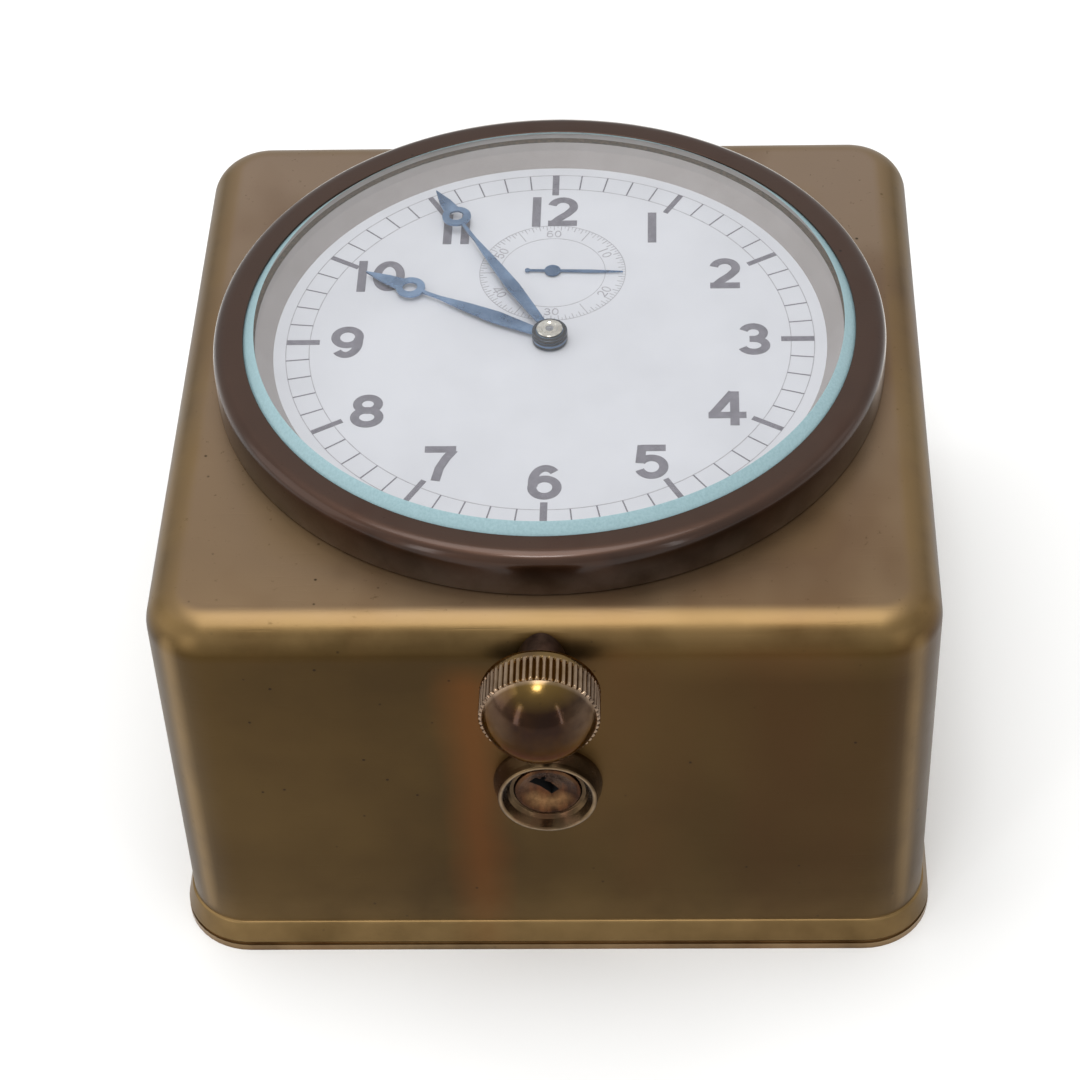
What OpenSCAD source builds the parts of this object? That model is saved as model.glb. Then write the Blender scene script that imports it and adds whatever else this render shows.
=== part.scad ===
// Car clock in a drawn brass box case, with its eight-day movement, keyless winding and case lock

/* [Case] */
// Width of the case, side to side
case_w = 90; // [84:0.5:110]
// Depth of the case, front to back
case_d = 90; // [84:0.5:110]
// Height of the flat top above the mounting face
case_h = 55.5; // [52:0.5:72]
// Thickness of the drawn brass sheet
case_wall = 1.2; // [0.9:0.1:1.6]
// Radius of the upright corners
corner_r = 7.4; // [6:0.1:12]
// Radius of the edge round the top
top_edge_r = 4.5; // [3:0.1:4.5]
// Height of the crease below which the sheet turns outwards as a foot
foot_h = 4.5; // [3.6:0.1:4.6]
// How far the foot stands out past the sides
foot_out = 1; // [0.6:0.1:1.2]
// Gap between the case and its mounting plate when shut
seam_gap = 0.25; // [0.15:0.05:0.3]

/* [Mounting plate] */
// Thickness of the mounting plate
plate_t = 1.2; // [1:0.1:2.5]
// Width of plate left round the feet of the hinge
tab_edge = 0.8; // [0.5:0.1:2]
// Spacing of the mounting screw holes, side to side
mount_pitch_x = 60; // [40:1:66]
// Spacing of the mounting screw holes, front to back
mount_pitch_y = 50; // [40:1:54]
// Radius of the mounting screw holes
mount_hole_r = 2.2; // [1.5:0.1:3]

/* [Bezel and glass] */
// How far the dial centre sits behind the middle of the case
dial_offset = 1.2; // [0:0.1:1.2]
// Clear distance from the bezel to the nearest side of the case
bezel_margin = 4.7; // [4.6:0.1:5]
// Width of the bezel, from its lip to its outside
bezel_w = 3.7; // [3.6:0.1:4.2]
// Height of the bezel above the case top
bezel_h = 5.75; // [5.4:0.05:6.2]
// Radius of the round on the outer top edge of the bezel
bezel_round_r = 2.5; // [1.5:0.1:2.6]
// Radius of the round on the rolled lip
lip_round_r = 0.4; // [0.2:0.05:0.5]
// Width of the seat of the bezel on the case top, outside its neck
bezel_seat = 2.7; // [2.5:0.1:3]
// Wall of the neck
neck_wall = 1.6; // [1.2:0.1:1.8]
// Thickness of the glass
glass_t = 3; // [2.7:0.1:3.2]
// Width and height of the bevel ground round the top of the glass
glass_bevel = 1.6; // [1.2:0.1:1.8]
// Width of the nut that clamps the bezel to the case
nut_w = 1.6; // [1:0.1:1.6]
// Thickness of that nut
nut_t = 1.4; // [1:0.1:1.5]

/* [Dial and hands] */
// Height of the dial face above the case top
dial_rise = 0.9; // [0.8:0.05:1]
// Thickness of the dial
dial_t = 0.8; // [0.6:0.1:0.9]
// How far the reflector ring covers the edge of the dial
dial_cover = 2.65; // [2.3:0.05:3]
// Distance of the seconds hand from the middle of the dial
seconds_offset = 12.7; // [12.5:0.05:13.2]
// Gap from the tip of the minute hand to the reflector ring
minute_tip_gap = 2.3; // [1:0.1:4]
// Length of the minute hand past the middle of its open ring
minute_spear_l = 5.8; // [4:0.1:7]
// Length of the hour hand from its axis to its tip
hour_hand_l = 26; // [24:0.1:27]
// Distance of the open ring on the hour hand from the hand's axis
hour_ring_at = 19.6; // [17:0.1:20]
// Outer radius of those rings
hand_ring_r = 1.8; // [1.4:0.1:2]
// Radius of the collets that the hands stand on
collet_r = 2.1; // [1.8:0.1:2.2]
// Length of the seconds hand from its axis to its tip
seconds_hand_l = 8.7; // [5:0.1:8.8]
// Angle of the minute hand past twelve at rest
minute_at = 331; // [0:1:360]
// Angle of the hour hand past twelve at rest
hour_at = 298; // [0:1:360]
// Angle of the seconds hand past its sixty at rest
seconds_at = 92; // [0:1:360]
// Thickness of a hand
hand_t = 0.25; // [0.15:0.05:0.3]

/* [Movement plates] */
// Radius of the movement
movement_r = 30; // [29.6:0.1:30.2]
// Space for the motion work between dial and main plate
motion_gap = 1.9; // [1.8:0.05:2.1]
// Thickness of the main plate
main_plate_t = 3.8; // [3.6:0.1:4.2]
// Height of the train between main plate and bridges
train_h = 9; // [8.9:0.1:9.6]
// Thickness of the bridges
bridge_t = 1.6; // [1.2:0.1:2.2]
// Radius of a pivot
pivot_r = 0.45; // [0.35:0.05:0.5]
// Running clearance round each pivot and shaft, on the radius
run_c = 0.05; // [0.03:0.01:0.08]

/* [Train] */
// Teeth of the great wheel on the barrel
great_teeth = 64; // [64]
// Teeth of the centre wheel
centre_teeth = 64; // [64]
// Teeth of the third wheel
third_teeth = 60; // [60]
// Teeth of the fourth wheel
fourth_teeth = 64; // [64]
// Leaves of each train pinion
pinion_leaves = 8; // [8]
// Module of the great wheel and centre pinion
great_mod = 0.4; // [0.4]
// Module of the centre wheel and third pinion
centre_mod = 0.3; // [0.3]
// Module of the third wheel and fourth pinion
third_mod = 0.25; // [0.25]
// Module of the fourth wheel and escape pinion
fourth_mod = 0.22; // [0.22]
// Radius of the barrel drum
barrel_r = 11.8; // [11:0.1:12]
// Height of the barrel drum
barrel_h = 3.4; // [3:0.1:3.4]
// Radius of the balance rim
balance_r = 7; // [6:0.1:7.2]
// Radius of the escape wheel
escape_r = 4; // [3.6:0.1:4.1]

/* [Winding and knob] */
// Distance of the winding stem below the main plate's dial face
stem_drop = 2.2; // [2.1:0.05:2.3]
// Radius of the winding stem
stem_r = 1; // [0.8:0.05:1]
// Side of the square on the stem
stem_square = 1.2; // [1:0.05:1.2]
// Radius over the flutes of the knob
knob_r = 6.7; // [5:0.1:8]
// Length of the fluted rim of the knob
knob_rim_l = 4.8; // [3:0.1:7]
// Height of the dome of the knob
knob_dome_h = 4.2; // [3:0.1:4.6]
// Number of flutes round the knob
knob_flutes = 56; // [40:1:60]
// Radius of the collar behind the knob
collar_r = 2.75; // [2.2:0.05:2.9]
// How far the collar stands out of the front
collar_l = 4; // [2:0.1:6]

/* [Lock] */
// Height of the lock above the mounting face
lock_z = 30.4; // [25:0.1:31]
// Radius of the lock where it meets the front
lock_foot_r = 6.35; // [6:0.05:7]
// Radius of the lock at its front edge
lock_edge_r = 5.75; // [5.4:0.05:5.9]
// How far the lock stands out of the front
lock_out = 2.7; // [1.8:0.1:3.5]
// Radius of the threaded barrel of the lock
lock_barrel_r = 5; // [4.8:0.05:5.2]
// Radius of the lock plug
plug_r = 3.9; // [3.6:0.05:4]
// Length of the locking cam from the plug axis
cam_l = 9; // [8.5:0.1:9.5]
// Angle of the keyway at rest
keyway_at = 45; // [0:1:90]

/* [Hinge] */
// Radius of the hinge knuckles
knuckle_r = 1.7; // [1.5:0.05:1.75]
// Radius of the hinge pin
hinge_pin_r = 0.8; // [0.6:0.05:0.9]
// Length of the middle knuckle
mid_knuckle_l = 30; // [20:0.5:36]
// Length of each outer knuckle
end_knuckle_l = 12; // [8:0.5:14]

/* [Hidden] */
$fn = 72;

// Colours of the metals
brass = "#8a6a3c";
bronze = "#4a352a";
steel = "#9a9a9c";
blue_steel = "#2f4d78";
nickel = "#c9c2ae";
copper = "#8a5a38";

// Clearances with a meaning
fit_c = 0.05;      // between pieces that are fitted by hand and stay put
free_c = 0.3;      // between pieces that move past each other
eps = 0.01;        // how far a cutter runs past a face

// Heights, from the mounting face up
body_z = plate_t + seam_gap;
dial_z = case_h + dial_rise;
dial_under = dial_z - dial_t;
main_top = dial_under - motion_gap;
main_bot = main_top - main_plate_t;
bridge_top = main_bot - train_h;
bridge_bot = bridge_top - bridge_t;
stem_z = main_top - stem_drop;

// Bezel and glass
bezel_r = min(case_w, case_d) / 2 - bezel_margin;
lip_r = bezel_r - bezel_w;
neck_r = bezel_r - bezel_seat;
lip_over = 0.3;
lip_t = 0.3;
glass_r = lip_r + lip_over;
groove_top = case_h + bezel_h - lip_t;
glass_edge_top = groove_top - lip_over - fit_c;
glass_top = glass_edge_top + glass_bevel;
glass_bot = glass_top - glass_t;
glass_flat_r = glass_r - glass_bevel;
gasket_t = 0.15;
gasket_w = 0.7;
neck_in_r = neck_r - neck_wall;
retainer_t = 1;
neck_bot = main_top - retainer_t;
ring_step_r = movement_r - 1.5;
dial_r = neck_in_r - fit_c;
gasket_in_r = dial_r - gasket_w;
dial_show_r = dial_r - dial_cover;
minute_hand_l = dial_show_r - minute_tip_gap;
minute_ring_at = minute_hand_l - minute_spear_l;
nut_r = neck_r + nut_w;

// Places in the movement, from the dial centre
centre_at = [0, 0];
fourth_at = [0, seconds_offset];
great_d = great_mod * (great_teeth + pinion_leaves) / 2;
centre_d = centre_mod * (centre_teeth + pinion_leaves) / 2;
third_d = third_mod * (third_teeth + pinion_leaves) / 2;
fourth_d = fourth_mod * (fourth_teeth + pinion_leaves) / 2;
third_y = (pow(centre_d, 2) - pow(third_d, 2) + pow(seconds_offset, 2)) / (2 * seconds_offset);
third_at = [sqrt(pow(centre_d, 2) - pow(third_y, 2)), third_y];
barrel_angle = 223.2;
barrel_at = great_d * [cos(barrel_angle), sin(barrel_angle)];
escape_angle = 165;
escape_at = fourth_at + fourth_d * [cos(escape_angle), sin(escape_angle)];
balance_at = [-19, 8];
lever_run = 5;
lever_axis = (balance_at - escape_at) / norm(balance_at - escape_at);
lever_at = escape_at + lever_run * lever_axis;
lever_heading = atan2(lever_axis[1], lever_axis[0]);

// Motion work: 3 to 1 and 4 to 1 on one centre distance
cannon_leaves = 12;
minute_teeth = 36;
minute_leaves = 10;
hour_teeth = 40;
motion_d = 7.5;
cannon_mod = 2 * motion_d / (cannon_leaves + minute_teeth);
hour_mod = 2 * motion_d / (minute_leaves + hour_teeth);
motion_angle = 285;
motion_at = motion_d * [cos(motion_angle), sin(motion_angle)];

// Keyless winding
crown_teeth = 36;
ratchet_teeth = 54;
wind_mod = 0.3;
wind_d = wind_mod * (crown_teeth + ratchet_teeth) / 2;
crown_at = [0, barrel_at[1] - sqrt(pow(wind_d, 2) - pow(barrel_at[0], 2))];
face_teeth = 28;
pinion_teeth = 12;
face_mod = 0.35;
face_r = face_mod * face_teeth / 2;
wind_pinion_r = face_mod * pinion_teeth / 2;
face_w = 0.7;
pinion_hub_l = 2.4;

// Levels of the wheels, measured down from the underside of the main plate
ratchet_top = main_bot - 1.1;
ratchet_t = 0.8;
barrel_top = main_bot - 2.8;
barrel_bot = barrel_top - barrel_h;
great_t = 1;
centre_top = main_bot - 6.8;
third_top = main_bot - 1.3;
fourth_top = main_bot - 3.6;
escape_top = main_bot - 1.8;
balance_top = main_bot - 6.8;
wheel_t = 0.6;
fine_t = 0.45;
pinion_over = 0.4;

// Front of the case
front_y = -case_d / 2;
inner_front_y = front_y + case_wall;
collar_end_y = front_y - collar_l;
knob_back_y = collar_end_y - 0.2;
knob_rim_y = knob_back_y - knob_rim_l;
lock_reach = 7.6;
lock_end_y = inner_front_y + lock_reach;
cam_t = 1.2;
cam_w = 3.6;
cam_y = lock_end_y + 0.3;

// Hinge, behind the case
hinge_y = case_d / 2 + foot_out + knuckle_r + free_c;
hinge_z = plate_t + knuckle_r + free_c;
knuckle_gap = 0.3;
leaf_t = 0.8;

// Tooth forms share one outline: radial flanks inside the pitch circle, straight flats above it
function tooth(a, r, half, up, down, tip) = [
    [a - half, r - down], [a - half, r], [a - half * tip, r + up],
    [a + half * tip, r + up], [a + half, r], [a + half, r - down]];
function polar(p) = p[1] * [cos(p[0]), sin(p[0])];
function gear_points(n, m, share, up, down, tip, turn) =
    [for (i = [0 : n - 1]) for (p = tooth(turn + i * 360 / n, n * m / 2,
        share * 180 / n, up * m, down * m, tip)) polar(p)];

// Turn that sets gear b in mesh with gear a, which lies in direction dir from a
function mesh_turn(dir, turn_a, na, nb) =
    dir + 180 - (turn_a - dir) * na / nb + 180 / nb;
function heading(from, to) = atan2(to[1] - from[1], to[0] - from[0]);

// Turns at rest, each from the one before it in the train
centre_turn = 0;
third_pinion_turn = mesh_turn(heading(centre_at, third_at), centre_turn, centre_teeth,
                              pinion_leaves);
third_turn = 0;
fourth_pinion_turn = mesh_turn(heading(third_at, fourth_at), third_turn, third_teeth,
                               pinion_leaves);
fourth_turn = 0;
escape_pinion_turn = mesh_turn(heading(fourth_at, escape_at), fourth_turn, fourth_teeth,
                               pinion_leaves);
centre_pinion_turn = 0;
great_turn = mesh_turn(heading(centre_at, barrel_at), centre_pinion_turn, pinion_leaves,
                       great_teeth);
cannon_turn = 0;
minute_wheel_turn = mesh_turn(heading(centre_at, motion_at), cannon_turn, cannon_leaves,
                              minute_teeth);
minute_pinion_turn = 0;
hour_turn = mesh_turn(heading(motion_at, centre_at), minute_pinion_turn, minute_leaves,
                      hour_teeth);
face_turn = -90 + 180 / face_teeth;
crown_turn = 0;
ratchet_turn = mesh_turn(heading(crown_at, barrel_at), crown_turn, crown_teeth, ratchet_teeth);

module wheel_2d(n, m, turn) {
    polygon(gear_points(n, m, 0.44, 0.85, 1.1, 0.35, turn));
}

module pinion_2d(n, m, turn) {
    polygon(gear_points(n, m, 0.34, 0.5, 1.25, 0.5, turn));
}

// Stubbier teeth for two wheels of much the same size in mesh
module stub_2d(n, m, turn) {
    polygon(gear_points(n, m, 0.4, 0.7, 1, 0.4, turn));
}

// Wheel with crossings: rim, hub and arms
module crossed_wheel(n, m, turn, t, hub, arms, bore) {
    rim = n * m / 2 - 2.6 * m;
    arm_w = max(0.9, 3 * m);
    linear_extrude(t) {
        difference() {
            wheel_2d(n, m, turn);
            difference() {
                circle(r = rim);
                circle(r = hub);
                for (i = [0 : arms - 1]) {
                    rotate(i * 360 / arms) translate([0, -arm_w / 2]) square([rim + 1, arm_w]);
                }
            }
            circle(r = bore);
        }
    }
}

module ring(r_out, r_in, t) {
    difference() {
        cylinder(r = r_out, h = t, $fn = 144);
        translate([0, 0, -eps]) cylinder(r = r_in, h = t + 2 * eps, $fn = 144);
    }
}

module at_dial(z) {
    translate([0, dial_offset, z]) children();
}

module at_train(p, z) {
    translate([p[0], p[1] + dial_offset, z]) children();
}

// Lies along the depth of the case, with its start at y
module along_y(x, y, z) {
    translate([x, y, z]) rotate([-90, 0, 0]) children();
}

module rounded_2d(w, d, r) {
    square([w - 2 * r, d], center = true);
    square([w, d - 2 * r], center = true);
    for (x = [-1, 1]) {
        for (y = [-1, 1]) {
            translate([x * (w / 2 - r), y * (d / 2 - r)]) circle(r = r);
        }
    }
}

// Box with round upright corners and a round top edge
module drawn_box(w, d, z_low, z_high, r, e) {
    translate([0, 0, z_low]) linear_extrude(z_high - e - z_low) rounded_2d(w, d, r);
    translate([0, 0, z_high - e - eps]) {
        linear_extrude(e + eps) rounded_2d(w - 2 * e, d - 2 * e, r - e);
    }
    for (s = [-1, 1]) {
        translate([-(w / 2 - r), s * (d / 2 - e), z_high - e]) rotate([0, 90, 0]) {
            cylinder(r = e, h = w - 2 * r);
        }
        translate([s * (w / 2 - e), d / 2 - r, z_high - e]) rotate([90, 0, 0]) {
            cylinder(r = e, h = d - 2 * r);
        }
        for (v = [-1, 1]) {
            translate([s * (w / 2 - r), v * (d / 2 - r), z_high - e]) {
                rotate_extrude() translate([r - e, 0]) intersection() {
                    circle(r = e);
                    square(e);
                }
            }
        }
    }
}

// Mounting plate with four screw holes
module base_plate() color(brass) {
    difference() {
        linear_extrude(plate_t) {
            difference() {
                union() {
                    rounded_2d(case_w + 2 * foot_out, case_d + 2 * foot_out, corner_r + foot_out);
                    translate([0, (case_d / 2 + tab_end_y) / 2]) {
                        rounded_2d(hinge_l + 2 * tab_edge, tab_end_y - case_d / 2, knuckle_r);
                    }
                }
                for (x = [-1, 1]) {
                    for (y = [-1, 1]) {
                        translate([x * mount_pitch_x / 2, y * mount_pitch_y / 2]) {
                            circle(r = mount_hole_r);
                        }
                    }
                }
                lug_rivet_spots() circle(r = rivet_r);
                keeper_rivet_spots() circle(r = rivet_r);
            }
        }
    }
}

rivet_r = 0.9;
rivet_up = 0.8;
rivet_over = 0.5;
rivet_tail_t = 0.5;
lug_x = mid_knuckle_l / 2 + knuckle_gap + end_knuckle_l / 2;
lug_foot_t = 0.9;

module lug_rivet_spots() {
    for (s = [-1, 1]) {
        for (v = [-1, 1]) {
            translate([s * lug_x + v * (end_knuckle_l / 2 - 2), hinge_y]) children();
        }
    }
}

// Two knuckles with feet, riveted on the tab of the plate
module base_hinge_lugs() color(brass) {
    for (s = [-1, 1]) {
        difference() {
            union() {
                translate([s * lug_x - end_knuckle_l / 2, hinge_y, hinge_z]) {
                    rotate([0, 90, 0]) cylinder(r = knuckle_r, h = end_knuckle_l);
                }
                translate([s * lug_x - end_knuckle_l / 2, hinge_y - knuckle_r, plate_t]) {
                    cube([end_knuckle_l, 2 * knuckle_r, lug_foot_t]);
                }
            }
            translate([s * lug_x - end_knuckle_l / 2 - 1, hinge_y, hinge_z]) {
                rotate([0, 90, 0]) {
                    cylinder(r = hinge_pin_r + run_c, h = end_knuckle_l + 2);
                }
            }
            for (v = [-1, 1]) {
                translate([s * lug_x + v * (end_knuckle_l / 2 - 2), hinge_y, plate_t - eps]) {
                    cylinder(r = rivet_r, h = rivet_up + eps);
                }
            }
        }
    }
}

// Set head of a rivet, flat side down
module rivet_head(r) {
    cylinder(r1 = r, r2 = r * 0.6, h = r * 0.55);
}

module lug_rivets() color(brass) {
    lug_rivet_spots() cylinder(r = rivet_r, h = plate_t + rivet_up);
}

hinge_l = mid_knuckle_l + 2 * (knuckle_gap + end_knuckle_l);
tab_end_y = hinge_y + knuckle_r + tab_edge;
pin_head_t = 0.5;

module hinge_pin() color(steel) {
    translate([-hinge_l / 2 - eps, hinge_y, hinge_z]) rotate([0, 90, 0]) {
        cylinder(r = hinge_pin_r, h = hinge_l + 2 * eps);
    }
    for (s = [-1, 1]) {
        translate([s * (hinge_l / 2 + pin_head_t / 2), hinge_y, hinge_z]) rotate([0, 90, 0]) {
            cylinder(r = hinge_pin_r + 0.35, h = pin_head_t, center = true);
        }
    }
}

// Keeper: a foot, a post beside the cam and a shelf that the cam turns under
keeper_gap = 0.3;
keeper_post_x = cam_l + 1.6;
keeper_t = 1.4;
keeper_y = cam_y - 1.4;
keeper_w = 4.6;
shelf_z = lock_z + cam_w / 2 + keeper_gap;
shelf_x = lock_barrel_r + 0.8;
keeper_foot_l = 9;

module keeper_rivet_spots() {
    for (v = [-1, 1]) {
        translate([keeper_post_x + keeper_t + keeper_foot_l / 2 + v * 2.4,
                   keeper_y + keeper_w / 2]) children();
    }
}

module lock_keeper() color(steel) {
    difference() {
        union() {
            translate([keeper_post_x, keeper_y, plate_t]) {
                cube([keeper_t + keeper_foot_l, keeper_w, keeper_t]);
                cube([keeper_t, keeper_w, shelf_z + keeper_t - plate_t]);
            }
            translate([shelf_x, keeper_y, shelf_z]) {
                cube([keeper_post_x + keeper_t - shelf_x, keeper_w, keeper_t]);
            }
        }
        translate([0, 0, plate_t - eps]) {
            keeper_rivet_spots() cylinder(r = rivet_r, h = keeper_t + 2 * eps);
        }
    }
}

module keeper_rivets() color(brass) {
    keeper_rivet_spots() {
        cylinder(r = rivet_r, h = plate_t + keeper_t + eps);
        translate([0, 0, plate_t + keeper_t]) rivet_head(rivet_r + rivet_over);
    }
}

// Drawn shell: open below, with openings for bezel, stem, lock and hinge rivets
leaf_rivet_rise = 8;
leaf_rivet_z = hinge_z + leaf_rivet_rise;
leaf_rivet_x = 11;

foot_cut = 1;
foot_in_out = foot_out * (foot_h - body_z + foot_cut) / (foot_h - body_z);

module foot_2d(w, out, z_low) {
    polygon([[-w / 2 - out, z_low], [w / 2 + out, z_low], [w / 2, foot_h], [-w / 2, foot_h]]);
}

// Block that widens towards its foot
module flared_foot(w, d, r, z_low, out) {
    rotate([90, 0, 0]) linear_extrude(d - 2 * r, center = true) foot_2d(w, out, z_low);
    rotate([90, 0, 90]) linear_extrude(w - 2 * r, center = true) foot_2d(d, out, z_low);
    for (x = [-1, 1]) {
        for (y = [-1, 1]) {
            translate([x * (w / 2 - r), y * (d / 2 - r), z_low]) {
                cylinder(r1 = r + out, r2 = r, h = foot_h - z_low);
            }
        }
    }
}

module case_shell() color(brass) {
    difference() {
        union() {
            drawn_box(case_w, case_d, foot_h, case_h, corner_r, top_edge_r);
            flared_foot(case_w, case_d, corner_r, body_z, foot_out);
        }
        drawn_box(case_w - 2 * case_wall, case_d - 2 * case_wall, foot_h - eps,
                  case_h - case_wall, corner_r - case_wall, top_edge_r - case_wall);
        flared_foot(case_w - 2 * case_wall, case_d - 2 * case_wall, corner_r - case_wall,
                    body_z - foot_cut, foot_in_out);
        at_dial(case_h - case_wall - 1) cylinder(r = neck_r + fit_c, h = case_wall + 2, $fn = 144);
        along_y(0, front_y - 1, stem_z) cylinder(r = collar_r, h = case_wall + 4.5);
        along_y(0, front_y - 1, lock_z) cylinder(r = lock_barrel_r, h = case_wall + 2);
        for (x = [-1, 0, 1]) {
            along_y(x * leaf_rivet_x, case_d / 2 - case_wall - 1, leaf_rivet_z) {
                cylinder(r = rivet_r, h = case_wall + 2);
            }
        }
    }
}

leaf_over = 3;
leaf_top = leaf_rivet_z + leaf_over;

module case_hinge_leaf() color(brass) {
    difference() {
        union() {
            translate([-mid_knuckle_l / 2, hinge_y, hinge_z]) rotate([0, 90, 0]) {
                cylinder(r = knuckle_r, h = mid_knuckle_l);
            }
            translate([-mid_knuckle_l / 2, case_d / 2, foot_h + fit_c]) {
                cube([mid_knuckle_l, leaf_t, leaf_top - foot_h - fit_c]);
            }
            rotate([90, 0, 90]) linear_extrude(mid_knuckle_l, center = true) {
                polygon([[case_d / 2, foot_h + fit_c], [hinge_y - knuckle_r * 0.6, hinge_z],
                         [hinge_y, hinge_z + knuckle_r * 0.95],
                         [case_d / 2, foot_h + fit_c + leaf_t]]);
            }
        }
        translate([-mid_knuckle_l / 2 - 1, hinge_y, hinge_z]) rotate([0, 90, 0]) {
            cylinder(r = hinge_pin_r + run_c, h = mid_knuckle_l + 2);
        }
        for (x = [-1, 0, 1]) {
            along_y(x * leaf_rivet_x, case_d / 2 - 1, leaf_rivet_z) {
                cylinder(r = rivet_r, h = leaf_t + 2);
            }
        }
    }
}

module leaf_rivets() color(brass) {
    for (x = [-1, 0, 1]) {
        along_y(x * leaf_rivet_x, case_d / 2 - case_wall - rivet_tail_t, leaf_rivet_z) {
            cylinder(r = rivet_r, h = case_wall + leaf_t + rivet_tail_t + eps);
            cylinder(r = rivet_r + rivet_over, h = rivet_tail_t);
            translate([0, 0, case_wall + leaf_t + rivet_tail_t]) rivet_head(rivet_r + rivet_over);
        }
    }
}

// Half-round ring with a rolled lip over the glass and a neck through the case
module bezel() color(bronze) {
    at_dial(case_h) rotate_extrude($fn = 180) {
        difference() {
            union() {
                translate([neck_in_r, 0]) square([bezel_r - neck_in_r, bezel_h - bezel_round_r]);
                translate([neck_in_r, 0]) {
                    square([bezel_r - bezel_round_r - neck_in_r, bezel_h - lip_round_r]);
                }
                translate([bezel_r - bezel_round_r, bezel_h - bezel_round_r]) {
                    circle(r = bezel_round_r, $fn = 120);
                }
                translate([lip_r + lip_round_r, 0]) {
                    square([bezel_r - bezel_round_r - lip_r - lip_round_r, bezel_h]);
                }
                translate([lip_r + lip_round_r, bezel_h - lip_round_r]) {
                    circle(r = lip_round_r);
                }
                translate([neck_in_r, neck_bot - case_h]) {
                    square([neck_wall, case_h - neck_bot + 1]);
                }
            }
            translate([0, neck_bot - case_h - 1]) {
                square([neck_in_r, bezel_h + case_h - neck_bot + 2]);
            }
            translate([0, glass_bot - gasket_t - case_h]) {
                square([glass_r + fit_c, groove_top - glass_bot + gasket_t]);
            }
            translate([0, groove_top - case_h - eps]) square([lip_r, lip_t + 1]);
        }
    }
}

module glass() color("#cfe3e0", 0.4) {
    at_dial(glass_bot) rotate_extrude($fn = 180) {
        polygon([[0, 0], [glass_r, 0], [glass_r, glass_edge_top - glass_bot],
                 [glass_flat_r, glass_t], [0, glass_t]]);
    }
}

module glass_gasket() color("#5a5048") {
    at_dial(glass_bot - gasket_t) ring(dial_r, gasket_in_r, gasket_t);
}

// Grey ring that slopes from the glass down to the dial
module reflector_ring() color("#9b948e") {
    at_dial(dial_z) rotate_extrude($fn = 180) {
        polygon([[dial_show_r, 0], [dial_r, 0], [dial_r, glass_bot - gasket_t - dial_z],
                 [gasket_in_r, glass_bot - gasket_t - dial_z]]);
    }
}

hour_pipe_r = 1.5;
dial_hole_r = hour_pipe_r + free_c;
seconds_pipe_r = 0.5;

module dial() color("#e9ebee") {
    at_dial(dial_under) {
        difference() {
            cylinder(r = dial_r, h = dial_t, $fn = 180);
            translate([0, 0, -1]) cylinder(r = dial_hole_r, h = dial_t + 2);
            translate([fourth_at[0], fourth_at[1], -1]) {
                cylinder(r = seconds_pipe_r + free_c, h = dial_t + 2);
            }
        }
    }
    for (a = [35, 215]) {
        at_dial(dial_under - motion_gap) rotate(a) translate([ring_step_r + 3, 0, 0]) {
            cylinder(r = dial_foot_r, h = motion_gap + dial_t / 2);
        }
    }
}

dial_foot_r = 0.6;

module bezel_nut() color(brass) {
    at_dial(case_h - case_wall - nut_t) {
        difference() {
            ring(nut_r, neck_r + fit_c, nut_t);
            for (i = [0 : 3]) {
                rotate(45 + i * 90) translate([nut_r - 0.9, -1, -1]) cube([3, 2, nut_t + 2]);
            }
        }
    }
}

// Spacer between dial and main plate; the dial feet stand in it
module movement_ring() color(nickel) {
    at_dial(main_top) {
        difference() {
            ring(dial_r, ring_step_r, motion_gap);
            for (a = [35, 215]) {
                rotate(a) translate([ring_step_r + 3, 0, -1]) {
                    cylinder(r = dial_foot_r + fit_c, h = motion_gap + 2);
                }
            }
            for (a = movement_screw_angles) {
                rotate(a) translate([movement_screw_r, 0, -1]) {
                    cylinder(r = movement_thread_r, h = motion_gap + 0.4);
                }
            }
        }
    }
}

movement_screw_angles = [90, 210, 330];
movement_screw_r = movement_r - 0.75;
movement_thread_r = 0.45;

module retaining_ring() color(nickel) {
    at_dial(neck_bot) {
        difference() {
            ring(dial_r, movement_r + fit_c, retainer_t);
            for (i = [0 : 3]) {
                rotate(45 + i * 90) translate([dial_r - 1.2, -0.8, -1]) {
                    cube([3, 1.6, retainer_t / 2 + 1]);
                }
            }
        }
    }
}

module movement_screws() color(blue_steel) {
    for (a = movement_screw_angles) {
        at_dial(main_bot - 0.7) rotate(a) translate([movement_screw_r, 0, 0]) {
            difference() {
                cylinder(r = 0.75, h = 0.7);
                translate([-1, -0.12, -eps]) cube([2, 0.24, 0.3]);
            }
            cylinder(r = movement_thread_r, h = 0.7 + main_plate_t + 1.2);
        }
    }
}

// Every pivot that runs in the main plate
train_pivots = [centre_at, third_at, fourth_at, escape_at, lever_at, balance_at];
click_at = barrel_at + 10.6 * [cos(205), sin(205)];
pinion_back_y = crown_at[1] - face_r + face_w / 2;
pinion_front_y = pinion_back_y - face_w - pinion_hub_l;
window_gap = 0.25;

window_w = 6;
crown_thread_r = 0.8;
crown_thread_l = 2;

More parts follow.
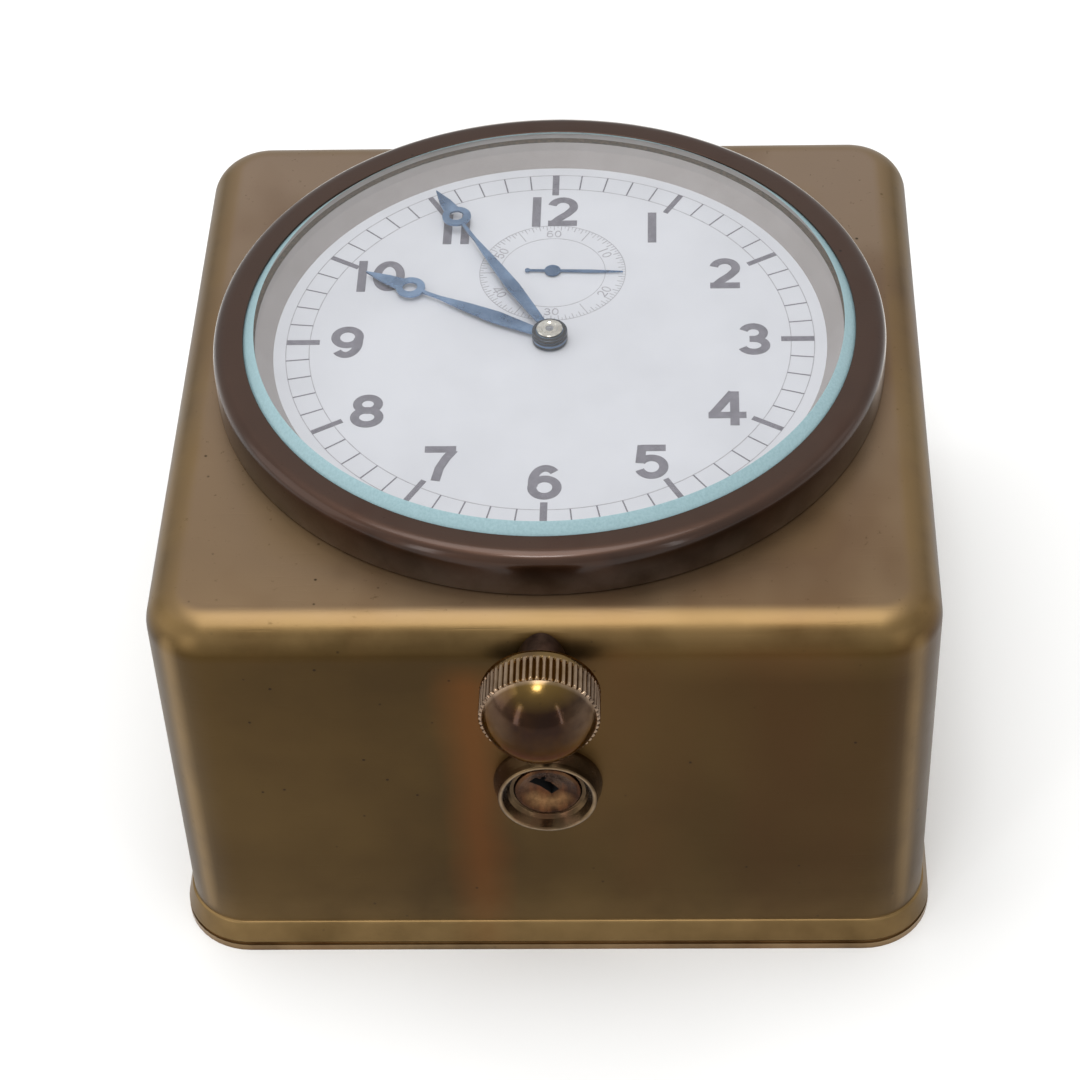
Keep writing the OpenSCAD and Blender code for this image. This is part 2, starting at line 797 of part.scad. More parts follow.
module main_plate() color(nickel) {
    difference() {
        at_dial(main_bot) cylinder(r = movement_r, h = main_plate_t, $fn = 180);
        at_train(centre_at, main_bot - 1) cylinder(r = 1 + run_c, h = main_plate_t + 2);
        at_train(fourth_at, main_bot - 1) cylinder(r = seconds_pipe_r + run_c, h = main_plate_t + 2);
        for (p = [third_at, escape_at, lever_at, balance_at]) {
            at_train(p, main_bot - 1) cylinder(r = pivot_r + run_c, h = 2.2);
        }
        at_train(barrel_at, main_bot - 1) cylinder(r = arbor_top_r + run_c, h = 2.6);
        at_train(click_at, main_bot - 1) cylinder(r = pivot_r + run_c, h = 2.2);
        at_train(crown_at, main_bot - 1) cylinder(r = crown_thread_r, h = 1 + crown_thread_l);
        at_train(motion_at, main_bot + 1.2) cylinder(r = pivot_r + run_c, h = main_plate_t);
        at_train([0, 0], main_bot - 1) {
            translate([-window_w / 2, pinion_front_y - window_gap, 0]) {
                cube([window_w, pinion_back_y - pinion_front_y + 2 * window_gap, main_plate_t + 2]);
            }
        }
        along_y(0, dial_offset - movement_r - 1, stem_z) {
            cylinder(r = stem_r + run_c, h = movement_r + 1 + pinion_front_y);
        }
        along_y(0, dial_offset + pinion_back_y, stem_z) {
            cylinder(r = stem_pilot_r + run_c, h = pilot_l + 1.2);
        }
        for (s = bridge_feet) {
            at_train(s, main_bot - 1) cylinder(r = screw_r, h = 2.6);
        }
        for (a = movement_screw_angles) {
            at_dial(main_bot - 1) rotate(a) translate([movement_screw_r, 0, 0]) {
                cylinder(r = movement_thread_r, h = main_plate_t + 2);
            }
        }
    }
}

stem_pilot_r = 0.5;
pilot_l = 2.6;
screw_r = 0.6;
foot_r = 2.2;

// Feet of the bridges: barrel bridge, train bridge, balance cock
barrel_feet = [[-26.6, -7.4], [-9.4, -25.9], [8.6, -16.6]];
train_feet = [[17.4, 12.4], [2.4, 24.6]];
cock_feet = [[-21, 17.9]];
bridge_feet = concat(barrel_feet, train_feet, cock_feet);

// Flat bars with round ends, each given as [from, to, half width]
module bars_2d(bars) {
    for (b = bars) {
        translate(b[0]) circle(r = b[2]);
        translate(b[1]) circle(r = b[2]);
        translate(b[0]) rotate(heading(b[0], b[1])) translate([0, -b[2] * 0.85]) {
            square([norm(b[1] - b[0]), b[2] * 1.7]);
        }
    }
}

screw_head_r = 1.3;
screw_sink = 0.8;

// Bridge plate on its feet, with holes for its screws and pivots
module bridge(bars, feet, pivots) {
    difference() {
        union() {
            at_dial(bridge_bot) linear_extrude(bridge_t) bars_2d(bars);
            for (p = feet) {
                at_train(p, bridge_top - eps) cylinder(r = foot_r - 0.1, h = train_h + eps);
            }
        }
        for (p = feet) {
            at_train(p, bridge_bot - 1) {
                cylinder(r = screw_r, h = bridge_t + train_h + 2);
                cylinder(r = screw_head_r + fit_c, h = 1 + screw_sink);
            }
        }
        for (p = pivots) {
            at_train(p, bridge_bot - 1) cylinder(r = pivot_r + run_c, h = bridge_t + 2);
        }
    }
}

module barrel_bridge() color(nickel) {
    difference() {
        bridge([[barrel_feet[0], barrel_at, 2.4], [barrel_feet[1], barrel_at, 2.4],
                [barrel_at, centre_at, 2.4], [barrel_feet[2], centre_at, 2.3],
                [barrel_at, barrel_at + [1, 0], 5]], barrel_feet, [centre_at]);
        at_train(barrel_at, bridge_bot - 1) cylinder(r = arbor_low_r + run_c, h = bridge_t + 2);
    }
}

module train_bridge() color(nickel) {
    bridge([[train_feet[0], third_at, 2.3], [train_feet[1], fourth_at, 2.3],
            [train_feet[0], train_feet[1], 2.4], [train_feet[1], escape_at, 2],
            [escape_at, lever_at, 1.7]], train_feet,
           [third_at, fourth_at, escape_at, lever_at]);
}

module balance_cock() color(nickel) {
    bridge([[cock_feet[0], balance_at, 2.3]], cock_feet, [balance_at]);
}

module bridge_screws() color(blue_steel) {
    for (p = bridge_feet) {
        at_train(p, bridge_bot - 0.1) {
            difference() {
                cylinder(r = screw_head_r, h = screw_sink + 0.1);
                translate([-2, -0.18, -eps]) cube([4, 0.36, 0.4]);
            }
            translate([0, 0, screw_sink]) cylinder(r = screw_r, h = bridge_t + train_h + 0.7);
        }
    }
}

// Bush for the stem, soldered in the front of the case
module stem_collar() color(bronze) {
    difference() {
        along_y(0, collar_end_y, stem_z) {
            cylinder(r = collar_r, h = inner_front_y + 2.2 - collar_end_y);
        }
        along_y(0, collar_end_y - 1, stem_z) {
            cylinder(r = stem_r + run_c, h = inner_front_y + 5 - collar_end_y);
        }
    }
}

// Lock body: dished front, flange, threaded barrel
module lock_body() color(brass) {
    along_y(0, 0, lock_z) rotate_extrude() {
        polygon([[plug_r + run_c, front_y - lock_out + 1.5],
                 [lock_edge_r - 1.3, front_y - lock_out + 1.5],
                 [lock_edge_r - 0.9, front_y - lock_out + 0.3],
                 [lock_edge_r - 0.45, front_y - lock_out],
                 [lock_edge_r - 0.15, front_y - lock_out + 0.1],
                 [lock_edge_r, front_y - lock_out + 0.4],
                 [lock_foot_r, front_y - 0.3], [lock_foot_r, front_y],
                 [lock_barrel_r, front_y], [lock_barrel_r, lock_end_y],
                 [plug_r + run_c, lock_end_y]]);
    }
}

lock_nut_w = 2;
lock_nut_t = 2;

module lock_nut() color(brass) {
    along_y(0, inner_front_y, lock_z) {
        difference() {
            cylinder(r = lock_barrel_r + lock_nut_w, h = lock_nut_t, $fn = 6);
            translate([0, 0, -1]) cylinder(r = lock_barrel_r, h = lock_nut_t + 2);
        }
    }
}

plug_sink = 1.2;
plug_face_y = front_y - lock_out + plug_sink;
cam_bore_r = 1.3;
cam_boss_r = 2.8;

module lock_plug() color(copper) {
    difference() {
        along_y(0, plug_face_y, lock_z) {
            cylinder(r = plug_r, h = lock_end_y - plug_face_y);
            translate([0, 0, lock_end_y - plug_face_y]) cylinder(r = cam_bore_r, h = 2 * cam_t);
        }
        translate([0, plug_face_y - eps, lock_z]) rotate([0, keyway_at, 0]) {
            translate([-2.7, 0, -0.05]) cube([3.3, 4, 0.8]);
            translate([-3, 0, -0.25]) cube([0.5, 4, 1.4]);
            translate([0.3, 0, -0.45]) cube([0.5, 4, 1.25]);
        }
        along_y(0, plug_face_y - eps, lock_z) cylinder(r1 = plug_r - 0.6, r2 = 1, h = 0.45);
    }
}

// Cam on the back of the plug, hanging down when unlocked
module lock_cam() color(steel) {
    difference() {
        union() {
            along_y(0, cam_y, lock_z) cylinder(r = cam_boss_r, h = cam_t);
            translate([-cam_w / 2, cam_y, lock_z - cam_l + cam_w / 2]) {
                cube([cam_w, cam_t, cam_l - cam_w / 2]);
            }
            along_y(0, cam_y, lock_z - cam_l + cam_w / 2) cylinder(r = cam_w / 2, h = cam_t);
        }
        along_y(0, cam_y - 1, lock_z) cylinder(r = cam_bore_r, h = cam_t + 2);
    }
}

flute_r = 0.26;
flute_up = 0.08;
flute_from = 0.35;

// Fluted knob with a domed front
dome_sphere_r = (pow(knob_r - 0.4, 2) + pow(knob_dome_h, 2)) / (2 * knob_dome_h);

module winding_knob() color(brass) {
    difference() {
        union() {
            along_y(0, knob_rim_y, stem_z) difference() {
                cylinder(r = knob_r, h = knob_rim_l, $fn = 120);
                for (i = [0 : knob_flutes - 1]) {
                    rotate(i * 360 / knob_flutes) translate([knob_r + flute_up, 0, flute_from]) {
                        cylinder(r = flute_r, h = knob_rim_l - 3 * flute_from, $fn = 16);
                    }
                }
            }
            intersection() {
                along_y(0, knob_rim_y - knob_dome_h - 1, stem_z) {
                    cylinder(r = knob_r - 0.4, h = knob_dome_h + 1 + eps, $fn = 120);
                }
                translate([0, knob_rim_y - knob_dome_h + dome_sphere_r, stem_z]) {
                    sphere(r = dome_sphere_r, $fn = 120);
                }
            }
        }
        along_y(0, knob_back_y - 2.6, stem_z) cylinder(r = stem_r, h = 4);
        along_y(0, knob_back_y - 0.9, stem_z) difference() {
            cylinder(r = knob_r + 1, h = 1);
            translate([0, 0, -1]) {
                cylinder(r1 = knob_r + 1, r2 = knob_r - 1, h = 2);
            }
        }
    }
}

square_l = 4.4;

module winding_stem() color(steel) {
    y_square = dial_offset + pinion_back_y + 0.2 - square_l;
    along_y(0, knob_back_y - 2.6, stem_z) {
        cylinder(r = stem_r, h = y_square - knob_back_y + 2.6 + eps);
    }
    translate([-stem_square / 2, y_square, stem_z - stem_square / 2]) {
        cube([stem_square, square_l, stem_square]);
    }
    along_y(0, y_square + square_l - eps, stem_z) cylinder(r = stem_pilot_r, h = pilot_l);
}

module winding_pinion() color(steel) {
    difference() {
        along_y(0, dial_offset + pinion_front_y, stem_z) {
            cylinder(r = 1.6, h = pinion_hub_l + eps);
            translate([0, 0, pinion_hub_l]) linear_extrude(face_w) {
                pinion_2d(pinion_teeth, face_mod, 90);
            }
        }
        translate([-stem_square / 2 - fit_c, dial_offset + pinion_front_y - 1,
                   stem_z - stem_square / 2 - fit_c]) {
            cube([stem_square + 2 * fit_c, pinion_hub_l + face_w + 2,
                  stem_square + 2 * fit_c]);
        }
    }
}

// Crown wheel: spur teeth round the edge, face teeth towards the stem
face_top = stem_z - wind_pinion_r + 0.25;

module crown_wheel() color(steel) {
    at_train(crown_at, ratchet_top - ratchet_t) difference() {
        union() {
            linear_extrude(ratchet_t) stub_2d(crown_teeth, wind_mod, crown_turn);
            linear_extrude(face_top - ratchet_top + ratchet_t) {
                intersection() {
                    difference() {
                        circle(r = face_r + face_w / 2);
                        circle(r = face_r - face_w / 2);
                    }
                    polygon(gear_points(face_teeth, 2 * (face_r + 1) / face_teeth, 0.36, 0,
                                        (face_r + 0.2) * face_teeth / (2 * (face_r + 1)), 1,
                                        face_turn));
                }
            }
        }
        translate([0, 0, -1]) cylinder(r = 1.6 + run_c, h = 6);
    }
}

crown_head_t = 0.5;

// Shouldered screw that the crown wheel turns on
module crown_screw() color(blue_steel) {
    lift = ratchet_t + crown_head_t + run_c;
    at_train(crown_at, ratchet_top - lift) {
        difference() {
            cylinder(r = 2.6, h = crown_head_t);
            translate([-4, -0.2, -eps]) cube([8, 0.4, crown_head_t / 2]);
        }
        translate([0, 0, crown_head_t / 2]) {
            cylinder(r = 1.6, h = main_bot - ratchet_top + lift - crown_head_t / 2);
            cylinder(r = crown_thread_r, h = main_bot - ratchet_top + lift - crown_head_t / 2 + crown_thread_l - 0.2);
        }
    }
}

arbor_square = 2;
arbor_top_r = 0.9;
arbor_low_r = 1.2;
arbor_body_r = 1.6;

module ratchet_wheel() color(steel) {
    at_train(barrel_at, ratchet_top - ratchet_t) linear_extrude(ratchet_t) difference() {
        stub_2d(ratchet_teeth, wind_mod, ratchet_turn);
        square(arbor_square + 2 * fit_c, center = true);
        for (i = [0 : 2]) {
            rotate(i * 120) translate([5, 0]) circle(r = 1.4);
        }
    }
}

module barrel_arbor() color(steel) {
    at_train(barrel_at, bridge_bot + 0.2) {
        cylinder(r = arbor_low_r, h = bridge_t);
        translate([0, 0, bridge_t - 0.1]) {
            cylinder(r = arbor_body_r, h = barrel_top - bridge_top - 0.1);
        }
    }
    at_train(barrel_at, barrel_top - eps) {
        cylinder(r = arbor_top_r, h = main_bot - barrel_top + 1.4);
        translate([-arbor_square / 2, -arbor_square / 2, 0]) {
            cube([arbor_square, arbor_square, ratchet_top - barrel_top]);
        }
    }
}

// Click at the ratchet wheel's edge, lying on the tooth tips
module click() color(steel) {
    at_train(click_at, ratchet_top - ratchet_t) {
        cylinder(r = 1.1, h = ratchet_t);
        cylinder(r = pivot_r, h = main_bot - ratchet_top + ratchet_t + 1);
    }
    at_train(click_at, ratchet_top - ratchet_t) rotate(205 + 100) {
        linear_extrude(ratchet_t) {
            polygon([[0, -1.05], [4.4, 0.5], [5.2, 1.9], [4.4, 2.25], [3.2, 1.6], [0, 1.05]]);
        }
    }
}

module barrel_drum() color(brass) {
    at_train(barrel_at, barrel_bot) difference() {
        union() {
            cylinder(r = barrel_r, h = barrel_h, $fn = 120);
            linear_extrude(great_t) wheel_2d(great_teeth, great_mod, great_turn);
        }
        translate([0, 0, 0.6]) cylinder(r = barrel_r - 0.8, h = barrel_h, $fn = 120);
        translate([0, 0, -1]) cylinder(r = arbor_body_r + run_c, h = 4);
    }
}

module barrel_cover() color(brass) {
    at_train(barrel_at, barrel_top - 0.6) difference() {
        cylinder(r = barrel_r - 0.8 - fit_c, h = 0.6, $fn = 120);
        translate([0, 0, -1]) cylinder(r = arbor_body_r + run_c, h = 4);
    }
}

// Spiral strip, from the arbor out to the drum
spring_turns = 7;
spring_t = 0.3;

module mainspring() color(blue_steel) {
    r0 = arbor_body_r + run_c + 0.4;
    r1 = barrel_r - 0.8 - spring_t;
    n = 24 * spring_turns;
    inner = [for (i = [0 : n]) (r0 + (r1 - r0) * i / n) * [cos(i * 15), sin(i * 15)]];
    outer = [for (i = [n : -1 : 0]) (r0 + spring_t + (r1 - r0) * i / n)
             * [cos(i * 15), sin(i * 15)]];
    at_train(barrel_at, barrel_bot + 0.7) linear_extrude(barrel_h - 1.4) {
        polygon(concat(inner, outer));
    }
}

module centre_wheel() color(brass) {
    at_train(centre_at, centre_top - wheel_t) {
        crossed_wheel(centre_teeth, centre_mod, centre_turn, wheel_t, 2.6, 4, 1.3);
    }
}

// Centre arbor: lower pivot, wheel seat, pinion, long post up through the plate
module centre_pinion() color(steel) {
    at_train(centre_at, bridge_bot + 0.2) cylinder(r = pivot_r, h = bridge_t);
    at_train(centre_at, bridge_top + 0.1) {
        cylinder(r = 1.3, h = centre_top + 0.3 - bridge_top - 0.1);
    }
    at_train(centre_at, centre_top + 0.3) linear_extrude(main_bot - 0.3 - centre_top - 0.3) {
        pinion_2d(pinion_leaves, great_mod, centre_pinion_turn);
    }
    at_train(centre_at, main_bot - 0.3 - eps) {
        cylinder(r = 1, h = main_plate_t + 0.3 + eps);
        cylinder(r = post_r, h = post_top - main_bot + 0.3);
    }
}

// Levels of the hands above the dial
seconds_hand_z = dial_z + 0.2;
hour_collet_z = dial_z + 0.15;
hour_hand_z = dial_z + 0.6;
minute_hand_z = dial_z + 1.25;
collet_h = 0.45;
post_top = minute_hand_z + collet_h + 0.3;
post_r = 0.5;
cannon_r = 0.9;

// Cannon pinion: friction-tight on the centre post, carries the minute hand
module cannon_pinion() color(steel) {
    at_train(centre_at, main_top + 0.1) difference() {
        union() {
            linear_extrude(0.6) pinion_2d(cannon_leaves, cannon_mod, cannon_turn);
            cylinder(r = cannon_r, h = minute_hand_z - main_top - 0.1);
        }
        translate([0, 0, -1]) cylinder(r = post_r, h = 10);
    }
}

blade_root_w = 0.4;
blade_neck_w = 0.22;
blade_tip_w = 0.05;
ring_hole_up = 0.1;

// Blade of a hand: leaf, thin neck, open ring and spear point
module leaf_blade(l, leaf_w, leaf_at, neck_at, ring_at) {
    spear_w = hand_ring_r * 0.55;
    spear_at = ring_at + hand_ring_r * 0.7;
    taper_at = ring_at + hand_ring_r + 0.35 * (l - ring_at - hand_ring_r);
    mid_at = (leaf_at + neck_at) / 2;
    linear_extrude(hand_t) difference() {
        union() {
            polygon([[-blade_root_w, 0], [blade_root_w, 0], [leaf_w * 0.75, leaf_at * 0.5],
                     [leaf_w, leaf_at], [leaf_w * 0.72, mid_at], [blade_neck_w, neck_at],
                     [blade_neck_w, ring_at], [-blade_neck_w, ring_at], [-blade_neck_w, neck_at],
                     [-leaf_w * 0.72, mid_at], [-leaf_w, leaf_at], [-leaf_w * 0.75, leaf_at * 0.5]]);
            translate([0, ring_at]) circle(r = hand_ring_r);
            polygon([[-spear_w, spear_at], [spear_w, spear_at], [spear_w * 0.75, taper_at],
                     [blade_tip_w, l], [-blade_tip_w, l], [-spear_w * 0.75, taper_at]]);
        }
        translate([0, ring_at + ring_hole_up]) circle(r = hand_ring_r * 0.5);
    }
}

module minute_hand() color(blue_steel) {
    at_dial(minute_hand_z) difference() {
        union() {
            rotate(-minute_at) leaf_blade(minute_hand_l, 0.85, 9.6, 20, minute_ring_at);
            cylinder(r = collet_r, h = collet_h);
        }
        translate([0, 0, -1]) cylinder(r = post_r, h = collet_h + 2);
    }
}

module hand_nut() color(nickel) {
    at_dial(minute_hand_z + collet_h) rotate_extrude() {
        polygon([[post_r, 0], [1.58, 0], [1.58, 0.3], [1.45, 0.4], [1.05, 0.4], [0.9, 0.3],
                 [post_r, 0.3]]);
    }
}

module hour_wheel() color(brass) {
    at_train(centre_at, main_top + 0.85) {
        difference() {
            union() {
                linear_extrude(0.5) wheel_2d(hour_teeth, hour_mod, hour_turn);
                cylinder(r = hour_pipe_r, h = hour_hand_z - main_top - 0.85);
            }
            translate([0, 0, -1]) cylinder(r = cannon_r + run_c, h = 10);
        }
    }
}

module hour_hand() color(blue_steel) {
    difference() {
        union() {
            at_dial(hour_hand_z) rotate(-hour_at) {
                leaf_blade(hour_hand_l, 1, 7.5, 15.5, hour_ring_at);
            }
            at_dial(hour_collet_z) cylinder(r = collet_r, h = minute_hand_z - 0.1 - hour_collet_z);
        }
        at_dial(hour_collet_z - 1) cylinder(r = hour_pipe_r, h = hour_hand_z - hour_collet_z + 1);
        at_dial(hour_collet_z) cylinder(r = cannon_r + run_c, h = 4);
    }
}

// Minute wheel and its pinion, which reduce the hour hand
module minute_wheel() color(brass) {
    at_train(motion_at, main_top + 0.15) {
        linear_extrude(0.45) wheel_2d(minute_teeth, cannon_mod, minute_wheel_turn);
        translate([0, 0, 0.45 - eps]) linear_extrude(0.85) {
            pinion_2d(minute_leaves, hour_mod, minute_pinion_turn);
        }
        translate([0, 0, -1.6]) cylinder(r = pivot_r, h = 1.6 + eps);
    }
}

// Arbor between the plates with a pinion on part of its length
module arbor(p, leaves, m, turn, low, high, body_r) {
    at_train(p, bridge_bot + 0.2) cylinder(r = pivot_r, h = bridge_t);
    at_train(p, bridge_top + 0.1) cylinder(r = body_r, h = train_h - 0.2);
    at_train(p, main_bot - 0.2) cylinder(r = pivot_r, h = 1.1);
    at_train(p, low) linear_extrude(high - low) pinion_2d(leaves, m, turn);
}

module third_wheel() color(brass) {
    at_train(third_at, third_top - fine_t) {
        crossed_wheel(third_teeth, third_mod, third_turn, fine_t, 1.9, 4, third_body_r);
    }
}

third_body_r = 0.75;
fourth_body_r = 0.6;
escape_body_r = 0.5;

module third_pinion() color(steel) {
    arbor(third_at, pinion_leaves, centre_mod, third_pinion_turn,
          centre_top - wheel_t - pinion_over, centre_top + pinion_over, third_body_r);
}

module fourth_wheel() color(brass) {
    at_train(fourth_at, fourth_top - fine_t) {
        crossed_wheel(fourth_teeth, fourth_mod, fourth_turn, fine_t, 1.7, 4, fourth_body_r);
    }
}

module fourth_pinion() color(steel) {
    arbor(fourth_at, pinion_leaves, third_mod, fourth_pinion_turn,
          third_top - fine_t - pinion_over, third_top + pinion_over, fourth_body_r);
    at_train(fourth_at, main_bot - 0.2) {
        cylinder(r = seconds_pipe_r - 0.02, h = seconds_hand_z - main_bot + 0.2);
    }
}

module seconds_hand() color(blue_steel) {
    at_train(fourth_at, seconds_hand_z) rotate(-seconds_at) linear_extrude(hand_t * 0.7) {
        circle(r = 1);
        polygon([[-0.14, -3.1], [0.14, -3.1], [0.16, 0], [0.22, seconds_hand_l * 0.55],
                 [0.06, seconds_hand_l], [-0.06, seconds_hand_l],
                 [-0.22, seconds_hand_l * 0.55], [-0.16, 0]]);
        translate([0, -3.1]) circle(r = 0.32);
    }
}

escape_teeth = 15;

module escape_wheel() color(steel) {
    root = escape_r - 0.9;
    at_train(escape_at, escape_top - fine_t) linear_extrude(fine_t) difference() {
        polygon([for (i = [0 : escape_teeth - 1]) for (p = [
            [i * 24, root], [i * 24 + 4, escape_r], [i * 24 + 7, escape_r - 0.05],
            [i * 24 + 11, root]]) polar(p)]);
        difference() {
            circle(r = root - 0.6);
            circle(r = 1.1);
            for (i = [0 : 3]) {
                rotate(i * 90) translate([0, -0.25]) square([root, 0.5]);
            }
        }
        circle(r = escape_body_r);
    }
}

module escape_pinion() color(steel) {
    arbor(escape_at, pinion_leaves, fourth_mod, escape_pinion_turn,
          fourth_top - fine_t - pinion_over, fourth_top + pinion_over, escape_body_r);
}

// Anchor with two pallet stones and a forked lever towards the balance
fork_gap = 0.35;

module pallet_lever() color(steel) {
    roller_reach = norm(balance_at - lever_at) - 1.3;
    reach = lever_run - escape_r - 0.45;
    at_train(lever_at, bridge_bot + 0.2) cylinder(r = pivot_r, h = bridge_t);
    at_train(lever_at, bridge_top + 0.1) cylinder(r = 0.55, h = train_h - 0.2);
    at_train(lever_at, main_bot - 0.2) cylinder(r = pivot_r, h = 1.1);
    at_train(lever_at, escape_top - fine_t) rotate(lever_heading) {
        linear_extrude(fine_t) {
            circle(r = 0.95);
            difference() {
                translate([0, -0.28]) square([roller_reach + 0.3, 0.56]);
                translate([roller_reach - 0.5, -fork_gap / 2]) square([2, fork_gap]);
            }
            for (s = [-1, 1]) {
                polygon([[0.2, 0], [-reach, s * 3.2], [-reach - 0.9, s * 3.35],
                         [-reach - 0.9, s * 2.9], [-reach - 0.1, s * 2.6], [-0.5, 0]]);
            }
        }
    }
}

module balance_wheel() color(brass) {
    at_train(balance_at, bridge_bot + 0.2) cylinder(r = pivot_r, h = bridge_t);
    at_train(balance_at, bridge_top + 0.1) cylinder(r = 0.6, h = train_h - 0.2);
    at_train(balance_at, main_bot - 0.2) cylinder(r = pivot_r, h = 1.1);
    at_train(balance_at, balance_top - 0.9) {
        linear_extrude(0.9) {
            difference() {
                circle(r = balance_r);
                circle(r = balance_r - 0.9);
            }
            circle(r = 1.4);
            translate([-balance_r + 0.4, -0.45]) square([2 * balance_r - 0.8, 0.9]);
        }
        for (i = [0 : 11]) {
            rotate(15 + i * 30) translate([balance_r - eps, 0, 0.45]) rotate([0, 90, 0]) {
                cylinder(r = 0.35, h = 0.45, $fn = 16);
            }
        }
    }
    at_train(balance_at, escape_top - fine_t - 0.9) cylinder(r = 1.5, h = 0.5);
    at_train(balance_at, escape_top - fine_t - 0.9) {
        rotate(lever_heading + 180) translate([1.1, 0, 0]) cylinder(r = 0.15, h = 0.75, $fn = 16);
    }
}

hairspring_turns = 9;
hairspring_t = 0.09;

module hairspring() color(blue_steel) {
    r0 = 0.75;
    r1 = 3.8;
    n = 20 * hairspring_turns;
    inner = [for (i = [0 : n]) (r0 + (r1 - r0) * i / n) * [cos(i * 18), sin(i * 18)]];
    outer = [for (i = [n : -1 : 0]) (r0 + hairspring_t + (r1 - r0) * i / n)
             * [cos(i * 18), sin(i * 18)]];
    at_train(balance_at, bridge_top + 0.45) linear_extrude(0.4) {
        polygon(concat(inner, outer));
    }
}

base_plate();
base_hinge_lugs();
lug_rivets();
hinge_pin();
lock_keeper();
keeper_rivets();
case_shell();
case_hinge_leaf();
leaf_rivets();
bezel();
glass();
glass_gasket();
reflector_ring();
dial();
bezel_nut();
movement_ring();
retaining_ring();
main_plate();
barrel_bridge();
train_bridge();
balance_cock();
bridge_screws();
movement_screws();
stem_collar();
lock_body();
lock_nut();
winding_knob();
winding_stem();
winding_pinion();
crown_wheel();
crown_screw();
ratchet_wheel();
barrel_arbor();
click();
barrel_drum();
barrel_cover();
mainspring();
centre_wheel();
centre_pinion();
cannon_pinion();
minute_hand();
hand_nut();
hour_wheel();
hour_hand();
minute_wheel();
third_wheel();
third_pinion();
fourth_wheel();
fourth_pinion();
seconds_hand();
escape_wheel();
escape_pinion();
pallet_lever();
balance_wheel();
hairspring();
lock_plug();
lock_cam();
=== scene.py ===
import bpy
import bmesh
import math
from mathutils import Matrix, Vector


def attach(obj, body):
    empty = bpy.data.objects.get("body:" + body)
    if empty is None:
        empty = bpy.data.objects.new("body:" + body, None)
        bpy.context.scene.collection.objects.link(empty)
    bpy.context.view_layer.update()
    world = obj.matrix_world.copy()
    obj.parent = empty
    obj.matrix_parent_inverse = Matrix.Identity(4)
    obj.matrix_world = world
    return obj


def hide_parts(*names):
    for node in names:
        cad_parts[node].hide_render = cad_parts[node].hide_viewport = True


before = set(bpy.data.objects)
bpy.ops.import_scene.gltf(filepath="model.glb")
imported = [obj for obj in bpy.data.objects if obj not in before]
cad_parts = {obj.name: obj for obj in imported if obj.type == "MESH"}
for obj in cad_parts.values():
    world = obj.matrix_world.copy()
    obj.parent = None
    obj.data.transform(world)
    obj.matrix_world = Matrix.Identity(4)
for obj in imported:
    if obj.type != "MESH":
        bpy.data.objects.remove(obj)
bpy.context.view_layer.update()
mm = 0.001
print("frame loaded")


# Small helpers for colour and shader nodes

def toLinear(hexColour):
    # sRGB hex to linear, with alpha 1
    parts = [int(hexColour[i:i + 2], 16) / 255 for i in (1, 3, 5)]
    return [p / 12.92 if p <= 0.04045 else ((p + 0.055) / 1.055) ** 2.4 for p in parts] + [1.0]


def toMetres(sizes):
    return [size * mm for size in sizes]


def fillSockets(tree, node, sockets):
    # By name or in order: a value, a colour as hex, or a node, whose first output is taken
    if isinstance(sockets, dict):
        pairs = [(node.inputs[name], value) for name, value in sockets.items()]
    else:
        pairs = zip([socket for socket in node.inputs if socket.enabled], sockets)
    for socket, value in pairs:
        if isinstance(value, bpy.types.Node):
            value = next(output for output in value.outputs if output.enabled)
        if isinstance(value, bpy.types.NodeSocket):
            tree.links.new(value, socket)
        else:
            socket.default_value = toLinear(value) if isinstance(value, str) else value


def addNode(tree, kind, sockets=(), stops=(), **settings):
    # One node with its settings, what goes into its sockets, and (place, colour) stops of a ramp
    node = tree.nodes.new("ShaderNode" + kind)
    for key, value in settings.items():
        setattr(node, key, value)
    fillSockets(tree, node, sockets)
    if stops:
        elements = node.color_ramp.elements
        while len(elements) < len(stops):
            elements.new(0.5)
        for element, (place, colour) in zip(elements, stops):
            element.position = place
            element.color = toLinear(colour) if isinstance(colour, str) else [colour] * 3 + [1]
    return node


def grainPattern(tree, place, sizeMm, detail=4, rough=0.55, stretch=(1, 1, 1), distort=0):
    # Blotches or grains that have this size on the real thing
    stretched = addNode(tree, "Mapping", {"Vector": place, "Scale": stretch})
    return addNode(tree, "TexNoise", {
        "Vector": stretched, "Scale": 1000 / sizeMm, "Detail": detail, "Roughness": rough,
        "Distortion": distort})


def weightedSum(tree, parts, start=None):
    # Patterns, each times its weight, added up
    total = start
    for pattern, weight in parts:
        part = addNode(tree, "Math", [pattern, weight], operation="MULTIPLY")
        total = part if total is None else addNode(tree, "Math", [part, total], operation="ADD")
    return total


def newMaterial(name, shader):
    material = bpy.data.materials.new(name)
    material.use_nodes = True
    tree = material.node_tree
    bsdf = tree.nodes["Principled BSDF"]
    fillSockets(tree, bsdf, shader)
    return material, tree, bsdf, addNode(tree, "TexCoord").outputs["Object"]


# Metals

